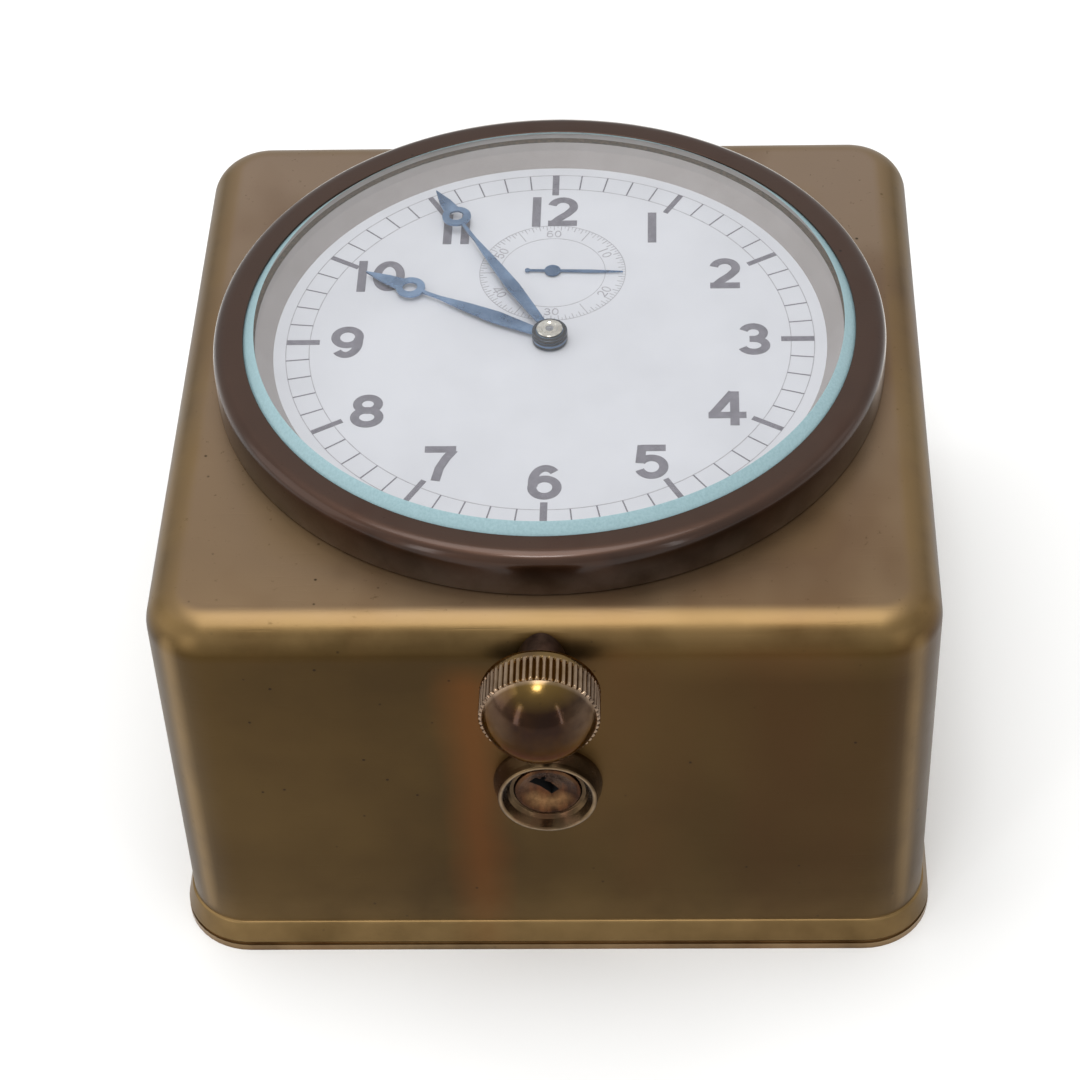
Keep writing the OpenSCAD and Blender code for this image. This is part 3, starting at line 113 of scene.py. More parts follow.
# blotchMm and grainMm are sizes on the real thing; the top heights are where the colour turns to
# high, the painted light of a top
metalLook = {
    # drawn sheet, browned by the air: an even olive brown; its top is painted lighter as painted
    # light, and greyer towards the back as a painted reflection
    "caseBrass": {
        "shadow": "#403019", "body": "#4b391e", "light": "#554224", "bareAndHighlight": "#8a714b",
        "copper": "#583820", "high": "#8b745a", "topSheenRear": "#9a8674", "rough": 0.41,
        "blotchMm": 45, "grainMm": 0.9, "ruddy": 0.4, "stained": True,
    },
    # pressed sheet: lighter and smoother than the case
    "plateBrass": {
        "shadow": "#55422d", "body": "#735b40", "light": "#856b4d", "bareAndHighlight": "#a08763",
        "copper": "#6b432c", "high": "#8b745a", "rough": 0.34, "blotchMm": 22, "grainMm": 0.8,
        "ruddy": 0.3,
    },
    # turned and lacquered: chocolate brown under a thin gloss; its lighter top and near-white
    # shoulder line are painted reflections
    "bezelBronze": {
        "shadow": "#2b1b12", "body": "#3a2519", "light": "#463022", "bareAndHighlight": "#ded7d0",
        "copper": "#43281c", "high": "#4b372d", "rough": 0.42, "blotchMm": 18, "grainMm": 0.7,
        "ruddy": 0.4, "paintedTopMm": (60.2, 61.2),
        "finish": {"Coat Weight": 0.45, "Coat Roughness": 0.15},
    },
    # turned and polished by thumbs, with clear reflections: dark below as a painted dark
    # reflection, olive gold on top as a painted highlight
    "knobBrass": {
        "shadow": "#281810", "body": "#34200f", "light": "#3f2816", "bareAndHighlight": "#a58f7a",
        "copper": "#351b12", "high": "#7a6132", "rough": 0.17, "blotchMm": 8, "grainMm": 0.5,
        "ruddy": 0.5, "paintedTopMm": (55.5, 57.6),
        "finish": {"Specular Tint": "#d2b99f", "Coat Weight": 0.12, "Coat Roughness": 0.06},
    },
    # turned brass with a soft shine, brighter on its rim
    "lockBrass": {
        "shadow": "#3b2d1d", "body": "#52402a", "light": "#635036", "bareAndHighlight": "#8c7860",
        "copper": "#5a3726", "high": "#4b3a27", "rough": 0.24, "blotchMm": 6, "grainMm": 0.5,
        "ruddy": 0.5,
    },
    # a dull, dark bush
    "collarBronze": {
        "shadow": "#261b17", "body": "#3a2c26", "light": "#46372e", "bareAndHighlight": "#6e5746",
        "copper": "#452b22", "high": "#3a2c26", "rough": 0.32, "blotchMm": 5, "grainMm": 0.5,
        "ruddy": 0.3,
    },
    # copper-rich brass: reddish and scratched, with a bright crescent below the slot that is key
    # wear and a painted highlight
    "plugCopper": {
        "shadow": "#2a1a12", "body": "#3f291b", "light": "#503926", "bareAndHighlight": "#9a7650",
        "copper": "#6b422a", "high": "#5f432f", "rough": 0.26, "blotchMm": 3, "grainMm": 0.4,
        "ruddy": 0.5, "scratch": 0.6,
    },
}
# The places of a ramp's stops are called turns, and a share is how much of a colour goes in
agedSpec = {
    "cloudSize": 0.22, "cloudShare": 0.2, "turns": (0.38, 0.5, 0.64), "paintedTopMm": (54.7, 55.45),
    "paintedTopShare": 0.85, "topSheenRearMm": (-45, 40), "ruddySize": 0.8, "ruddyStretch": (1.6, 1, 0.35),
    "ruddyTurns": (0.52, 0.68), "speckTurns": (0.25, 0.34), "speckShare": 0.5,
    "wearTurns": (0.3, 0.6), "roughShare": 0.2, "scratchMm": 0.5, "scratchTurns": (0.6, 0.7),
    "scratch": 0.35, "grainShare": 0.5, "depthMm": 0.03, "bump": 0.34,
}
stainSpec = {
    "runAt": -6.5, "runMm": (4.5, 0.5), "wander": 4, "wanderMm": 14, "runShare": 0.45,
    "runColour": "#72421d", "belowTopMm": (51, 47), "frontWallMm": (-38, -44),
    "brownSideMm": (4, 26), "brownShare": 0.52, "brownColour": "#35240f",
}
pitSpec = {"cellMm": 3, "rare": 0.45, "turns": (0.04, 0.08), "share": 0.8, "colour": "#1c130c"}


def addStains(tree, place, axes, colour):
    # On the front wall: a copper-red run where something once dripped down the sheet
    s = stainSpec
    wander = grainPattern(tree, place, s["wanderMm"], 3, 0.5)
    wander = addNode(tree, "Math", [wander, s["wander"] * mm], operation="MULTIPLY")
    off = addNode(tree, "Math", [axes.outputs["X"], wander], operation="ADD")
    off = addNode(tree, "Math", [off, s["runAt"] * mm], operation="SUBTRACT")
    off = addNode(tree, "Math", [off], operation="ABSOLUTE")
    run = addNode(tree, "MapRange", [off, *toMetres(s["runMm"]), 0, s["runShare"]])
    below = addNode(tree, "MapRange", [axes.outputs["Z"], *toMetres(s["belowTopMm"])])
    facing = addNode(tree, "MapRange", [axes.outputs["Y"], *toMetres(s["frontWallMm"])])
    wall = addNode(tree, "Math", [below, facing], operation="MULTIPLY")
    run = addNode(tree, "Math", [run, wall], operation="MULTIPLY")
    colour = addNode(tree, "Mix", [run, colour, s["runColour"]], data_type="RGBA")
    # and darker brown towards the right of the front wall
    side = addNode(tree, "MapRange", [axes.outputs["X"], *toMetres(s["brownSideMm"]), 0,
                                      s["brownShare"]])
    side = addNode(tree, "Math", [side, wall], operation="MULTIPLY")
    return addNode(tree, "Mix", [side, colour, s["brownColour"]], data_type="RGBA")


def addPits(tree, place, colour):
    # Dark pits up to half a millimetre across, about one to a square centimetre
    p = pitSpec
    cell = addNode(tree, "TexVoronoi", {"Vector": place, "Scale": 1000 / p["cellMm"]})
    chosen = addNode(tree, "SeparateColor", [cell.outputs["Color"]])
    chosen = addNode(tree, "Math", [chosen, p["rare"]], operation="GREATER_THAN")
    pit = addNode(tree, "ValToRGB", [cell], list(zip(p["turns"], (p["share"], 0.0))))
    pit = addNode(tree, "Math", [pit, chosen], operation="MULTIPLY")
    return addNode(tree, "Mix", [pit, colour, p["colour"]], data_type="RGBA")


def agedMetal(name, look):
    # Brass left to brown in the air: even and soft; lighter and greyer on top, a painted light;
    # bright on rubbed edges, which also carry painted highlights
    material, tree, bsdf, place = newMaterial(name, {"Metallic": 1.0, **look.get("finish", {})})
    a = agedSpec
    blotch = grainPattern(tree, place, look["blotchMm"], 3, 0.5, distort=0.3)
    cloud = grainPattern(tree, place, look["blotchMm"] * a["cloudSize"], 4, 0.55)
    grain = grainPattern(tree, place, look["grainMm"], 3, 0.7)
    mottled = weightedSum(tree, [(blotch, 1 - a["cloudShare"]), (cloud, a["cloudShare"])])
    tones = (look["shadow"], look["body"], look["light"])
    colour = addNode(tree, "ValToRGB", [mottled], list(zip(a["turns"], tones)))
    axes = addNode(tree, "SeparateXYZ", [place])
    # the top turns to the high colour, greyer towards the back: painted light and a painted
    # reflection
    topLight = addNode(tree, "MapRange", [axes.outputs["Z"],
                                        *toMetres(look.get("paintedTopMm", a["paintedTopMm"]))])
    topLight = addNode(tree, "Math", [topLight, a["paintedTopShare"]], operation="MULTIPLY")
    rear = addNode(tree, "MapRange", [axes.outputs["Y"], *toMetres(a["topSheenRearMm"])])
    above = addNode(tree, "Mix", [rear, look["high"], look.get("topSheenRear", look["high"])],
                    data_type="RGBA")
    colour = addNode(tree, "Mix", [topLight, colour, above], data_type="RGBA")
    ruddy = grainPattern(tree, place, look["blotchMm"] * a["ruddySize"], 3, 0.5,
                         stretch=a["ruddyStretch"])
    ruddy = addNode(tree, "ValToRGB", [ruddy], list(zip(a["ruddyTurns"], (0.0, look["ruddy"]))))
    colour = addNode(tree, "Mix", [ruddy, colour, look["copper"]], data_type="RGBA")
    if look.get("stained"):
        colour = addStains(tree, place, axes, colour)
    speck = addNode(tree, "ValToRGB", [grain], list(zip(a["speckTurns"], (a["speckShare"], 0.0))))
    colour = addNode(tree, "Mix", [speck, colour, look["shadow"]], data_type="RGBA")
    colour = addPits(tree, place, colour)
    # the wear mask brings in the bare colour: rubbed metal, and painted highlights and reflections
    rubbedAndLit = addNode(tree, "Attribute", attribute_name="wearAndSheen").outputs["Fac"]
    patchy = addNode(tree, "ValToRGB", [cloud], list(zip(a["wearTurns"], (0.5, 1.0))))
    rubbedAndLit = addNode(tree, "Math", [rubbedAndLit, patchy], operation="MULTIPLY", use_clamp=True)
    scratches = grainPattern(tree, place, a["scratchMm"], 2, 0.5, stretch=(0.06, 1, 1))
    scratches = addNode(tree, "ValToRGB", [scratches], list(zip(a["scratchTurns"], (0.0, 1.0))))
    deep = -look.get("scratch", a["scratch"])
    relief = weightedSum(tree, [(grain, a["grainShare"]), (scratches, deep)])
    fillSockets(tree, bsdf, {
        "Base Color": addNode(tree, "Mix", [rubbedAndLit, colour, look["bareAndHighlight"]], data_type="RGBA"),
        "Roughness": weightedSum(tree, [(cloud, a["roughShare"]), (speck, a["roughShare"])],
                                 look["rough"] - a["roughShare"] / 2),
        "Normal": addNode(tree, "Bump", {"Height": relief, "Strength": a["bump"],
                                         "Distance": a["depthMm"] * mm})})
    return material


caseBrass = agedMetal("brass_drawn_and_browned", metalLook["caseBrass"])
plateBrass = agedMetal("brass_pressed_plate", metalLook["plateBrass"])
bezelBronze = agedMetal("bronze_turned_and_lacquered", metalLook["bezelBronze"])
knobBrass = agedMetal("brass_turned_and_handled", metalLook["knobBrass"])
lockBrass = agedMetal("brass_of_the_lock", metalLook["lockBrass"])
collarBronze = agedMetal("bronze_of_the_collar", metalLook["collarBronze"])
plugCopper = agedMetal("copper_brass_worn_by_the_key", metalLook["plugCopper"])

plainSpec = {"stainMm": 9, "grainShare": 0.4, "stainShare": 0.6, "turns": (0.38, 0.6),
             "roughShare": 0.2, "depthMm": 0.01, "bump": 0.4}


def plainMetal(name, low, high, rough, sizeMm, stretch=(1, 1, 1), coat=0.0):
    # Clean metal inside the case: one colour, softened by the marks of its finishing
    material, tree, bsdf, place = newMaterial(name, {"Metallic": 1.0, "Coat Weight": coat})
    p = plainSpec
    grain = grainPattern(tree, place, sizeMm, 4, 0.6, stretch=stretch)
    stain = grainPattern(tree, place, p["stainMm"], 4, 0.6)
    mottled = weightedSum(tree, [(grain, p["grainShare"]), (stain, p["stainShare"])])
    fillSockets(tree, bsdf, {
        "Base Color": addNode(tree, "ValToRGB", [mottled], list(zip(p["turns"], (low, high)))),
        "Roughness": weightedSum(tree, [(grain, p["roughShare"])], rough - p["roughShare"] / 2),
        "Normal": addNode(tree, "Bump", {"Height": grain, "Strength": p["bump"],
                                         "Distance": p["depthMm"] * mm})})
    return material


# Frosted in acid: pale, and without clear reflections
nickelFrosted = plainMetal("nickel_frosted_plates", "#b1ac9f", "#c9c4b6", 0.38, 0.25)
# Polished: near white, and bright where it faces the light
nickelPolished = plainMetal("nickel_polished", "#b9b5aa", "#e0ddd4", 0.16, 0.6)
# Turned: grey, with the fine lines of the tool
steelBright = plainMetal("steel_turned_bright", "#77787c", "#b5b6ba", 0.24, 0.3,
                         stretch=(1, 1, 0.15))
# Blackened in oil: nearly black, with a low sheen
steelBlack = plainMetal("steel_oil_blackened", "#26282b", "#4a4d52", 0.32, 0.5)
# Gilt: warm and even
brassGilt = plainMetal("brass_gilt_wheels", "#a9803a", "#dcb866", 0.26, 0.2, stretch=(1, 0.2, 1))
# Spun and left plain: yellow brown and a little dull
brassSpun = plainMetal("brass_spun_plain", "#7f6234", "#b08d50", 0.34, 0.5)
# Blued by heat: a soft blue under a clear shine
steelBlued = plainMetal("steel_heat_blued", "#4a6585", "#7d98b9", 0.3, 3, coat=0.3)


# Paint, ink, cork and glass

def paintedDial():
    # White lacquered dial, faintly blue, with the softest mottling of old paint
    material, tree, bsdf, place = newMaterial("lacquer_white_dial", {
        "Roughness": 0.42, "Coat Weight": 0.15, "Coat Roughness": 0.3})
    age = grainPattern(tree, place, 14, 4, 0.55)
    fillSockets(tree, bsdf, {
        "Base Color": addNode(tree, "ValToRGB", [age], [(0.35, "#c0c2c8"), (0.6, "#c6c8ce")]),
        "Normal": addNode(tree, "Bump", {"Height": grainPattern(tree, place, 0.6, 2),
                                         "Strength": 0.3, "Distance": 0.004 * mm})})
    return material


def mattePaint(name, low, high, rough, sizeMm, depthMm=0.01):
    # A dull coat between two close colours, with a fine grain
    material, tree, bsdf, place = newMaterial(name, {"Roughness": rough})
    grain = grainPattern(tree, place, sizeMm, 4, 0.6)
    fillSockets(tree, bsdf, {
        "Base Color": addNode(tree, "ValToRGB", [grain], [(0.35, low), (0.65, high)]),
        "Normal": addNode(tree, "Bump", {"Height": grain, "Strength": 0.3,
                                         "Distance": depthMm * mm})})
    return material


dialWhite = paintedDial()
# Transfer printing: soft greys, thin enough to let the dial through in places
inkGrey = mattePaint("ink_grey_numerals", "#5f5d66", "#706e77", 0.55, 0.8, 0.005)
inkFaint = mattePaint("ink_fine_lines", "#8d8c93", "#a3a2a8", 0.55, 0.8, 0.005)
# Stoved enamel: a quiet warm grey beside the white
rehautGrey = mattePaint("enamel_grey_reflector", "#8e8987", "#969190", 0.45, 6)
# Pressed crumbs: dark and rough
corkBrown = mattePaint("cork_pressed_gasket", "#3a3129", "#5a4c3e", 0.85, 0.4)
# Painted shade in the keyway: near black, dark enough to make the slot look deep
keyholeDark = mattePaint("keyway_painted_shade", "#030202", "#080605", 1.0, 0.5)

glassLook = {"through": "#fafafa", "rippleMm": 25, "rippleBump": 0.05, "grindMm": 0.3,
             "grindLow": "#8aaab0", "grindHigh": "#9ab9bf", "grindClear": 0.2,
             "grindBump": 0.4, "depthMm": 0.01}


def clockGlass(name, rough, tint, ground):
    # Bevelled crystal: refracts the dial, and lets light through to it without caustics
    g = glassLook
    material, tree, bsdf, place = newMaterial(name, {
        "IOR": 1.5, "Transmission Weight": 1.0, "Roughness": rough, "Base Color": tint})
    if ground:
        relief = grainPattern(tree, place, g["grindMm"], 3, 0.6)
        tones = [(0.3, g["grindLow"]), (0.7, g["grindHigh"])]
        fillSockets(tree, bsdf, {"Base Color": addNode(tree, "ValToRGB", [relief], tones),
                                 "Transmission Weight": g["grindClear"]})
    else:
        relief = grainPattern(tree, place, g["rippleMm"], 2, 0.4)
    fillSockets(tree, bsdf, {"Normal": addNode(tree, "Bump", {
        "Height": relief, "Strength": g["grindBump"] if ground else g["rippleBump"],
        "Distance": g["depthMm"] * mm})})
    path = addNode(tree, "LightPath")
    through = addNode(tree, "Math", [path.outputs["Is Shadow Ray"],
                                     path.outputs["Is Diffuse Ray"]], operation="MAXIMUM")
    clear = addNode(tree, "BsdfTransparent", [g["through"]])
    fillSockets(tree, tree.nodes["Material Output"], {
        "Surface": addNode(tree, "MixShader", [through, bsdf, clear])})
    return material


glassClear = clockGlass("crystal_clear", 0.0, "#ffffff", False)
# Ground: pale blue green, and no longer clear
glassGround = clockGlass("crystal_bevel_ground", 0.5, "#a9cac8", True)
print("materials made")


# Mesh building

def linkForm(form, name):
    # Turns a form in millimetres into an object in metres
    bmesh.ops.recalc_face_normals(form, faces=form.faces)
    for vert in form.verts:
        vert.co *= mm
    mesh = bpy.data.meshes.new(name)
    form.to_mesh(mesh)
    form.free()
    thing = bpy.data.objects.new(name, mesh)
    bpy.context.scene.collection.objects.link(thing)
    return thing


def makePiece(name, body, material, build, smooth=35, replaced=(), wearAndSheen=None):
    # build fills a bmesh in millimetres; the wear function gives 0 to 1 for a point and its normal,
    # for rubbed metal and painted highlights alike
    form = bmesh.new()
    build(form)
    bmesh.ops.remove_doubles(form, verts=form.verts, dist=0.0005)
    piece = linkForm(form, name)
    mesh = piece.data
    mesh.materials.append(material)
    mesh.shade_smooth()
    mesh.set_sharp_from_angle(angle=math.radians(smooth))
    if wearAndSheen:
        layer = mesh.attributes.new("wearAndSheen", "FLOAT", "POINT")
        for i, vert in enumerate(mesh.vertices):
            layer.data[i].value = wearAndSheen(vert.co / mm, vert.normal)
    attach(piece, body)
    if replaced:
        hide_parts(*replaced)
    return piece


def giveFaces(piece, material, chosen):
    # A second material for the faces that are chosen by their middle, in mm, and their normal
    piece.data.materials.append(material)
    for face in piece.data.polygons:
        if chosen(face.center / mm, face.normal):
            face.material_index = 1


def subtract(piece, tool, materials="INDEX"):
    # Cuts the tool's volume out of the piece
    cut = piece.modifiers.new("cut", "BOOLEAN")
    cut.object = tool
    cut.operation = "DIFFERENCE"
    cut.solver = "EXACT"
    cut.material_mode = materials
    bpy.context.view_layer.objects.active = piece
    bpy.ops.object.modifier_apply(modifier=cut.name)
    bpy.data.objects.remove(tool)


def joinLoops(form, low, high):
    # A band of faces between two closed loops
    for k in range(len(low)):
        n = (k + 1) % len(low)
        form.faces.new((low[k], low[n], high[n], high[k]))


def arcPath(points, steps):
    # points are (r, z, fillet radius); each corner becomes an arc
    path = []
    count = len(points)
    for i, (x, y, radius) in enumerate(points):
        here = Vector((x, y))
        back = Vector(points[i - 1][:2]) - here
        ahead = Vector(points[(i + 1) % count][:2]) - here
        if radius <= 0 or back.length < 1e-6 or ahead.length < 1e-6:
            path.append((x, y))
            continue
        half = back.angle(ahead) / 2
        run = min(radius / math.tan(half), back.length * 0.49, ahead.length * 0.49)
        start = here + back.normalized() * run
        end = here + ahead.normalized() * run
        for k in range(steps + 1):
            t = k / steps
            path.append(tuple((1 - t) ** 2 * start + 2 * t * (1 - t) * here + t ** 2 * end))
    return path


def lathe(form, path, place, segments, closed=True):
    # path is (radius, height) pairs round the axis; place moves the result into the clock
    rings = []
    for r, z in path:
        if r < 1e-6:
            rings.append([form.verts.new(place @ Vector((0, 0, z)))])
            continue
        rings.append([form.verts.new(place @ Vector((r * math.cos(2 * math.pi * k / segments),
                                                     r * math.sin(2 * math.pi * k / segments), z)))
                      for k in range(segments)])
    pairs = list(zip(rings, rings[1:])) + ([(rings[-1], rings[0])] if closed else [])
    for low, high in pairs:
        for k in range(segments):
            n = (k + 1) % segments
            corners = [low[k % len(low)], low[n % len(low)], high[n % len(high)],
                       high[k % len(high)]]
            unique = list(dict.fromkeys(corners))
            if len(unique) > 2:
                form.faces.new(unique)
    return rings


def discPrism(form, outline, low, high, place, holes=(), steps=48):
    # Upright prism from a closed outline with round holes, for thin flat things
    bounds = [outline] + [[(cx + r * math.cos(2 * math.pi * k / steps),
                            cy + r * math.sin(2 * math.pi * k / steps)) for k in range(steps)]
                          for cx, cy, r in holes]
    edges = []
    lower = []
    for loop in bounds:
        verts = [form.verts.new((x, y, 0)) for x, y in loop]
        edges += [form.edges.new((verts[i], verts[(i + 1) % len(verts)]))
                  for i in range(len(verts))]
        lower += verts
    filled = bmesh.ops.triangle_fill(form, use_beauty=True, edges=edges)
    faces = [f for f in filled["geom"] if isinstance(f, bmesh.types.BMFace)]
    made = bmesh.ops.extrude_face_region(form, geom=faces)
    upper = [v for v in made["geom"] if isinstance(v, bmesh.types.BMVert)]
    for verts, z in ((lower, low), (upper, high)):
        for vert in verts:
            vert.co = place @ Vector((vert.co.x, vert.co.y, z))


# What the pieces share, in mm
caseTop = 55.5  # the flat top of the case above the mounting face
stemHeight = 51.5
lockHeight = 30.4
dialY = 1.2  # the middle of the dial lies a little behind the middle of the case
dialCentre = Matrix.Translation((0, dialY, 0))


def alongFront(x, y, z):
    # local z runs towards the front of the case
    return Matrix.Translation((x, y, z)) @ Matrix.Rotation(math.radians(90), 4, "X")


def fromDial(point):
    return math.hypot(point.x, point.y - dialY)


def fromAxis(point, height):
    # how far from an axis that runs through the front wall
    return math.hypot(point.x, point.z - height)


def peak(value, middle, wide):
    # 1 at the middle, 0 from wide away
    return max(0, 1 - abs(value - middle) / wide)


def climb(value, start, span):
    # 0 at the start and 1 after the span, which can run downwards
    return min(1, max(0, (value - start) / span))


# Case: drawn from sheet, open below

caseSpec = {
    "half": 45.0, "wall": 1.2, "corner": 7.4, "edge": 4.5, "low": 1.45, "high": caseTop,
    "levels": [2.4, 3.4, 4.2, 4.36, 4.43, 4.5, 4.6, 4.8, 6, 10, 16, 22, 28, 34, 40, 46, 49.5,
               50.5, 50.72],
    "crease": 4.5, "flare": 1.0, "lipSlope": 5, "lipShare": 0.2, "eased": 0.12,
    "opening": 37.65, "cornerSteps": 18, "sideSteps": 22, "edgeSteps": 16,
    "outside": -47, "stemHole": (2.75, -41, stemHeight), "lockHole": (5.0, -42, lockHeight),
}


def caseOutline(inset, corner, half):
    # Plan of the case as one loop that starts at +X and runs anticlockwise
    spec = caseSpec
    reach = half - inset
    straight = reach - corner
    points = []
    for quarter in range(4):
        turn = quarter * math.pi / 2
        local = []
        for k in range(spec["sideSteps"] // 2):
            local.append((reach, straight * 2 * k / spec["sideSteps"]))
        for k in range(spec["cornerSteps"] + 1):
            a = math.pi / 2 * k / spec["cornerSteps"]
            local.append((straight + corner * math.cos(a), straight + corner * math.sin(a)))
        for k in range(1, spec["sideSteps"] // 2 + 1):
            local.append((straight * (1 - 2 * k / spec["sideSteps"]), reach))
        points += [(x * math.cos(turn) - y * math.sin(turn),
                    x * math.sin(turn) + y * math.cos(turn)) for x, y in local[:-1]]
    return points


def buildCase(form):
    spec = caseSpec

    def skin(half, corner, edge, high, eased):
        loops = []
        for z in [spec["low"], spec["low"] + spec["eased"]] + spec["levels"]:
            out = max(0, spec["crease"] - z) / (spec["crease"] - spec["low"])
            # a small lip at the crease, then straight down the flare
            out = min(out * spec["lipSlope"], spec["lipShare"] + out * (1 - spec["lipShare"]))
            out *= spec["flare"]
            if z == spec["low"]:
                out -= eased  # the bare edge of the sheet, eased
            loops.append([(x, y, z) for x, y in caseOutline(0, corner + out, half + out)])
        for k in range(spec["edgeSteps"] + 1):
            a = math.pi / 2 * k / spec["edgeSteps"]
            inset = edge * (1 - math.cos(a))
            z = high - edge + edge * math.sin(a)
            loops.append([(x, y, z) for x, y in caseOutline(inset, corner - inset, half)])
        last = loops[-1]
        for t in (0.5, 1.0):
            ring = []
            for x, y, z in last:
                bearing = math.atan2(y - dialY, x)
                cx = spec["opening"] * math.cos(bearing)
                cy = spec["opening"] * math.sin(bearing) + dialY
                ring.append((x + (cx - x) * t, y + (cy - y) * t, z))
            loops.append(ring)
        return [[form.verts.new(p) for p in loop] for loop in loops]

    outer = skin(spec["half"], spec["corner"], spec["edge"], spec["high"], spec["eased"])
    inner = skin(*(spec[key] - spec["wall"] for key in ("half", "corner", "edge", "high")),
                 -spec["eased"])
    bands = [pair for loops in (outer, inner) for pair in zip(loops, loops[1:])]
    for low, high in bands + [(outer[0], inner[0]), (outer[-1], inner[-1])]:
        joinLoops(form, low, high)


# Pairs are for peak or climb, on the normal's lean from upright, its turn round a corner, or z
# painted highlights and reflections together with rubbed metal
caseRubAndSheen = {
    "rear": 0.8, "left": 0.85, "right": 0.6, "stripeTurn": (38, 14), "roundAbove": 50.8,
    "roundIn": (0, 12), "roundOut": (78, -26), "round": 0.6, "extra": 0.12,
    "extraLean": (22, 20), "ridge": (40, 30), "footBelow": 4.9, "crease": (4.34, 4.66),
    "foot": 0.78, "wall": 0.34, "wallFade": (11.8, -7),
}


def caseWear(point, normal):
    # Rubbed along the round of the top, down the upright corners and along the crease of the foot;
    # these bright bands are also painted highlights and reflections, brighter at the left corner
    # than the right, and the wall is lighter towards the foot
    w = caseRubAndSheen
    lean = math.degrees(math.acos(min(1, abs(normal.z))))
    turn = math.degrees(math.atan2(abs(normal.x), abs(normal.y)))
    share = 1.0 if point.y < 0 else w["rear"]
    stripe = (w["left"] if point.x < 0 else w["right"]) * peak(turn, *w["stripeTurn"])
    if point.z > w["roundAbove"]:
        rolled = climb(lean, *w["roundIn"]) * climb(lean, *w["roundOut"])
        rolled *= w["round"] + w["extra"] * peak(lean, *w["extraLean"])
        return share * max(rolled, stripe * climb(lean, *w["ridge"]))
    if point.z < w["footBelow"]:
        if w["crease"][0] < point.z < w["crease"][1]:
            return 1.0
        return w["foot"] if point.z < caseSpec["crease"] else w["wall"]
    return share * max(stripe, w["wall"] * climb(point.z, *w["wallFade"]))


casePiece = makePiece("case_body_drawn", "case", caseBrass, buildCase, 50,
                      ["case_shell"], caseWear)


def boreFront(radius, inner, height):
    # Round hole from outside the front wall in to inner
    start = Vector((0, caseSpec["outside"], height))
    axis = Vector((0, inner, height)) - start
    bpy.ops.mesh.primitive_cylinder_add(vertices=96, radius=radius * mm, depth=axis.length * mm,
                                        location=(start + axis / 2) * mm,
                                        rotation=axis.to_track_quat("Z", "Y").to_euler())
    subtract(casePiece, bpy.context.object)


boreFront(*caseSpec["stemHole"])
boreFront(*caseSpec["lockHole"])
print("case built")


# Bezel, glass and dial

bezelSpec = {
    "lip": 36.6, "outer": 40.3, "height": 5.75, "round": 2.5, "neck": 37.6, "neckIn": 36.0,
    "neckLow": 52.7, "grooveTop": 60.95, "grooveLow": 59.05, "grooveRadius": 36.95,
    "footIn": 0.12, "footUp": 0.15, "seatMargin": 0.02,
}


def buildBezel(form):
    s = bezelSpec
    top = caseTop + s["height"]
    path = arcPath([
        (s["neckIn"], s["neckLow"], 0.1), (s["neck"], s["neckLow"], 0.1), (s["neck"], caseTop, 0),
        (s["outer"] - s["footIn"], caseTop, 0), (s["outer"], caseTop + s["footUp"], 0.1),
        (s["outer"], top, s["round"]),
        (s["lip"], top, 0.3), (s["lip"], s["grooveTop"], 0.05),
        (s["grooveRadius"], s["grooveTop"], 0), (s["grooveRadius"], s["grooveLow"], 0),
        (s["neckIn"], s["grooveLow"], 0)], 12)
    lathe(form, path, dialCentre, 240)


# The bright line, a painted reflection: its lean in degrees at the sides, how much less it is at
# the back, and its width
bezelSheenAndRub = {
    "lean": 75, "leanBack": 47, "wide": 13, "line": 1.8, "sides": (-0.35, 0.3), "shoulder": 2.6,
    "foot": 0.2, "footUp": 0.3, "footWide": 0.4,
}


def bezelWear(point, normal):
    # A thin near-white painted reflection round the back of the shoulder, lower down towards the
    # sides; and a faint light line at the foot
    w = bezelSheenAndRub
    radius = fromDial(point)
    back = (point.y - dialY) / radius
    lean = math.degrees(math.acos(max(-1, min(1, normal.z))))
    line = w["line"] * peak(lean, w["lean"] - w["leanBack"] * back, w["wide"])
    line *= climb(back, *w["sides"])
    foot = w["foot"] * peak(point.z, caseTop + w["footUp"], w["footWide"])
    above = point.z > caseTop + bezelSpec["height"] - w["shoulder"]
    onShoulder = above and radius > bezelSpec["outer"] - w["shoulder"]
    return max(foot, line if onShoulder else 0)


def inSeat(middle, normal):
    # The seat of the glass is painted the grey of the reflector below it, a painted reflection
    # where the glass edge shows the seat
    s, near = bezelSpec, bezelSpec["seatMargin"]
    return (fromDial(middle) < s["grooveRadius"] + near
            and s["grooveLow"] - near < middle.z < s["grooveTop"] + near)


bezelPiece = makePiece("bezel_ring_turned", "case", bezelBronze, buildBezel, 40,
                       ["bezel"], bezelWear)
giveFaces(bezelPiece, rehautGrey, inSeat)

glassSpec = {"radius": 36.88, "low": 59.2, "edgeTop": 60.6, "top": 62.2, "flat": 35.3,
             "arrisOut": 0.06, "arrisIn": 0.04, "level": 0.95}


def buildGlass(form):
    g = glassSpec
    lathe(form, [(0, g["low"]), (g["radius"], g["low"]), (g["radius"], g["edgeTop"]),
                 (g["flat"] + g["arrisOut"], g["top"] - g["arrisOut"]),
                 (g["flat"] - g["arrisIn"], g["top"]), (0, g["top"])],
          dialCentre, 240, closed=False)


def onBevel(middle, normal):
    # The ground bevel and the edge below it, which aren't level
    return fromDial(middle) > glassSpec["flat"] and abs(normal.z) < glassSpec["level"]


glassPiece = makePiece("glass_crystal", "case", glassClear, buildGlass, 20, ["glass"])
giveFaces(glassPiece, glassGround, onBevel)

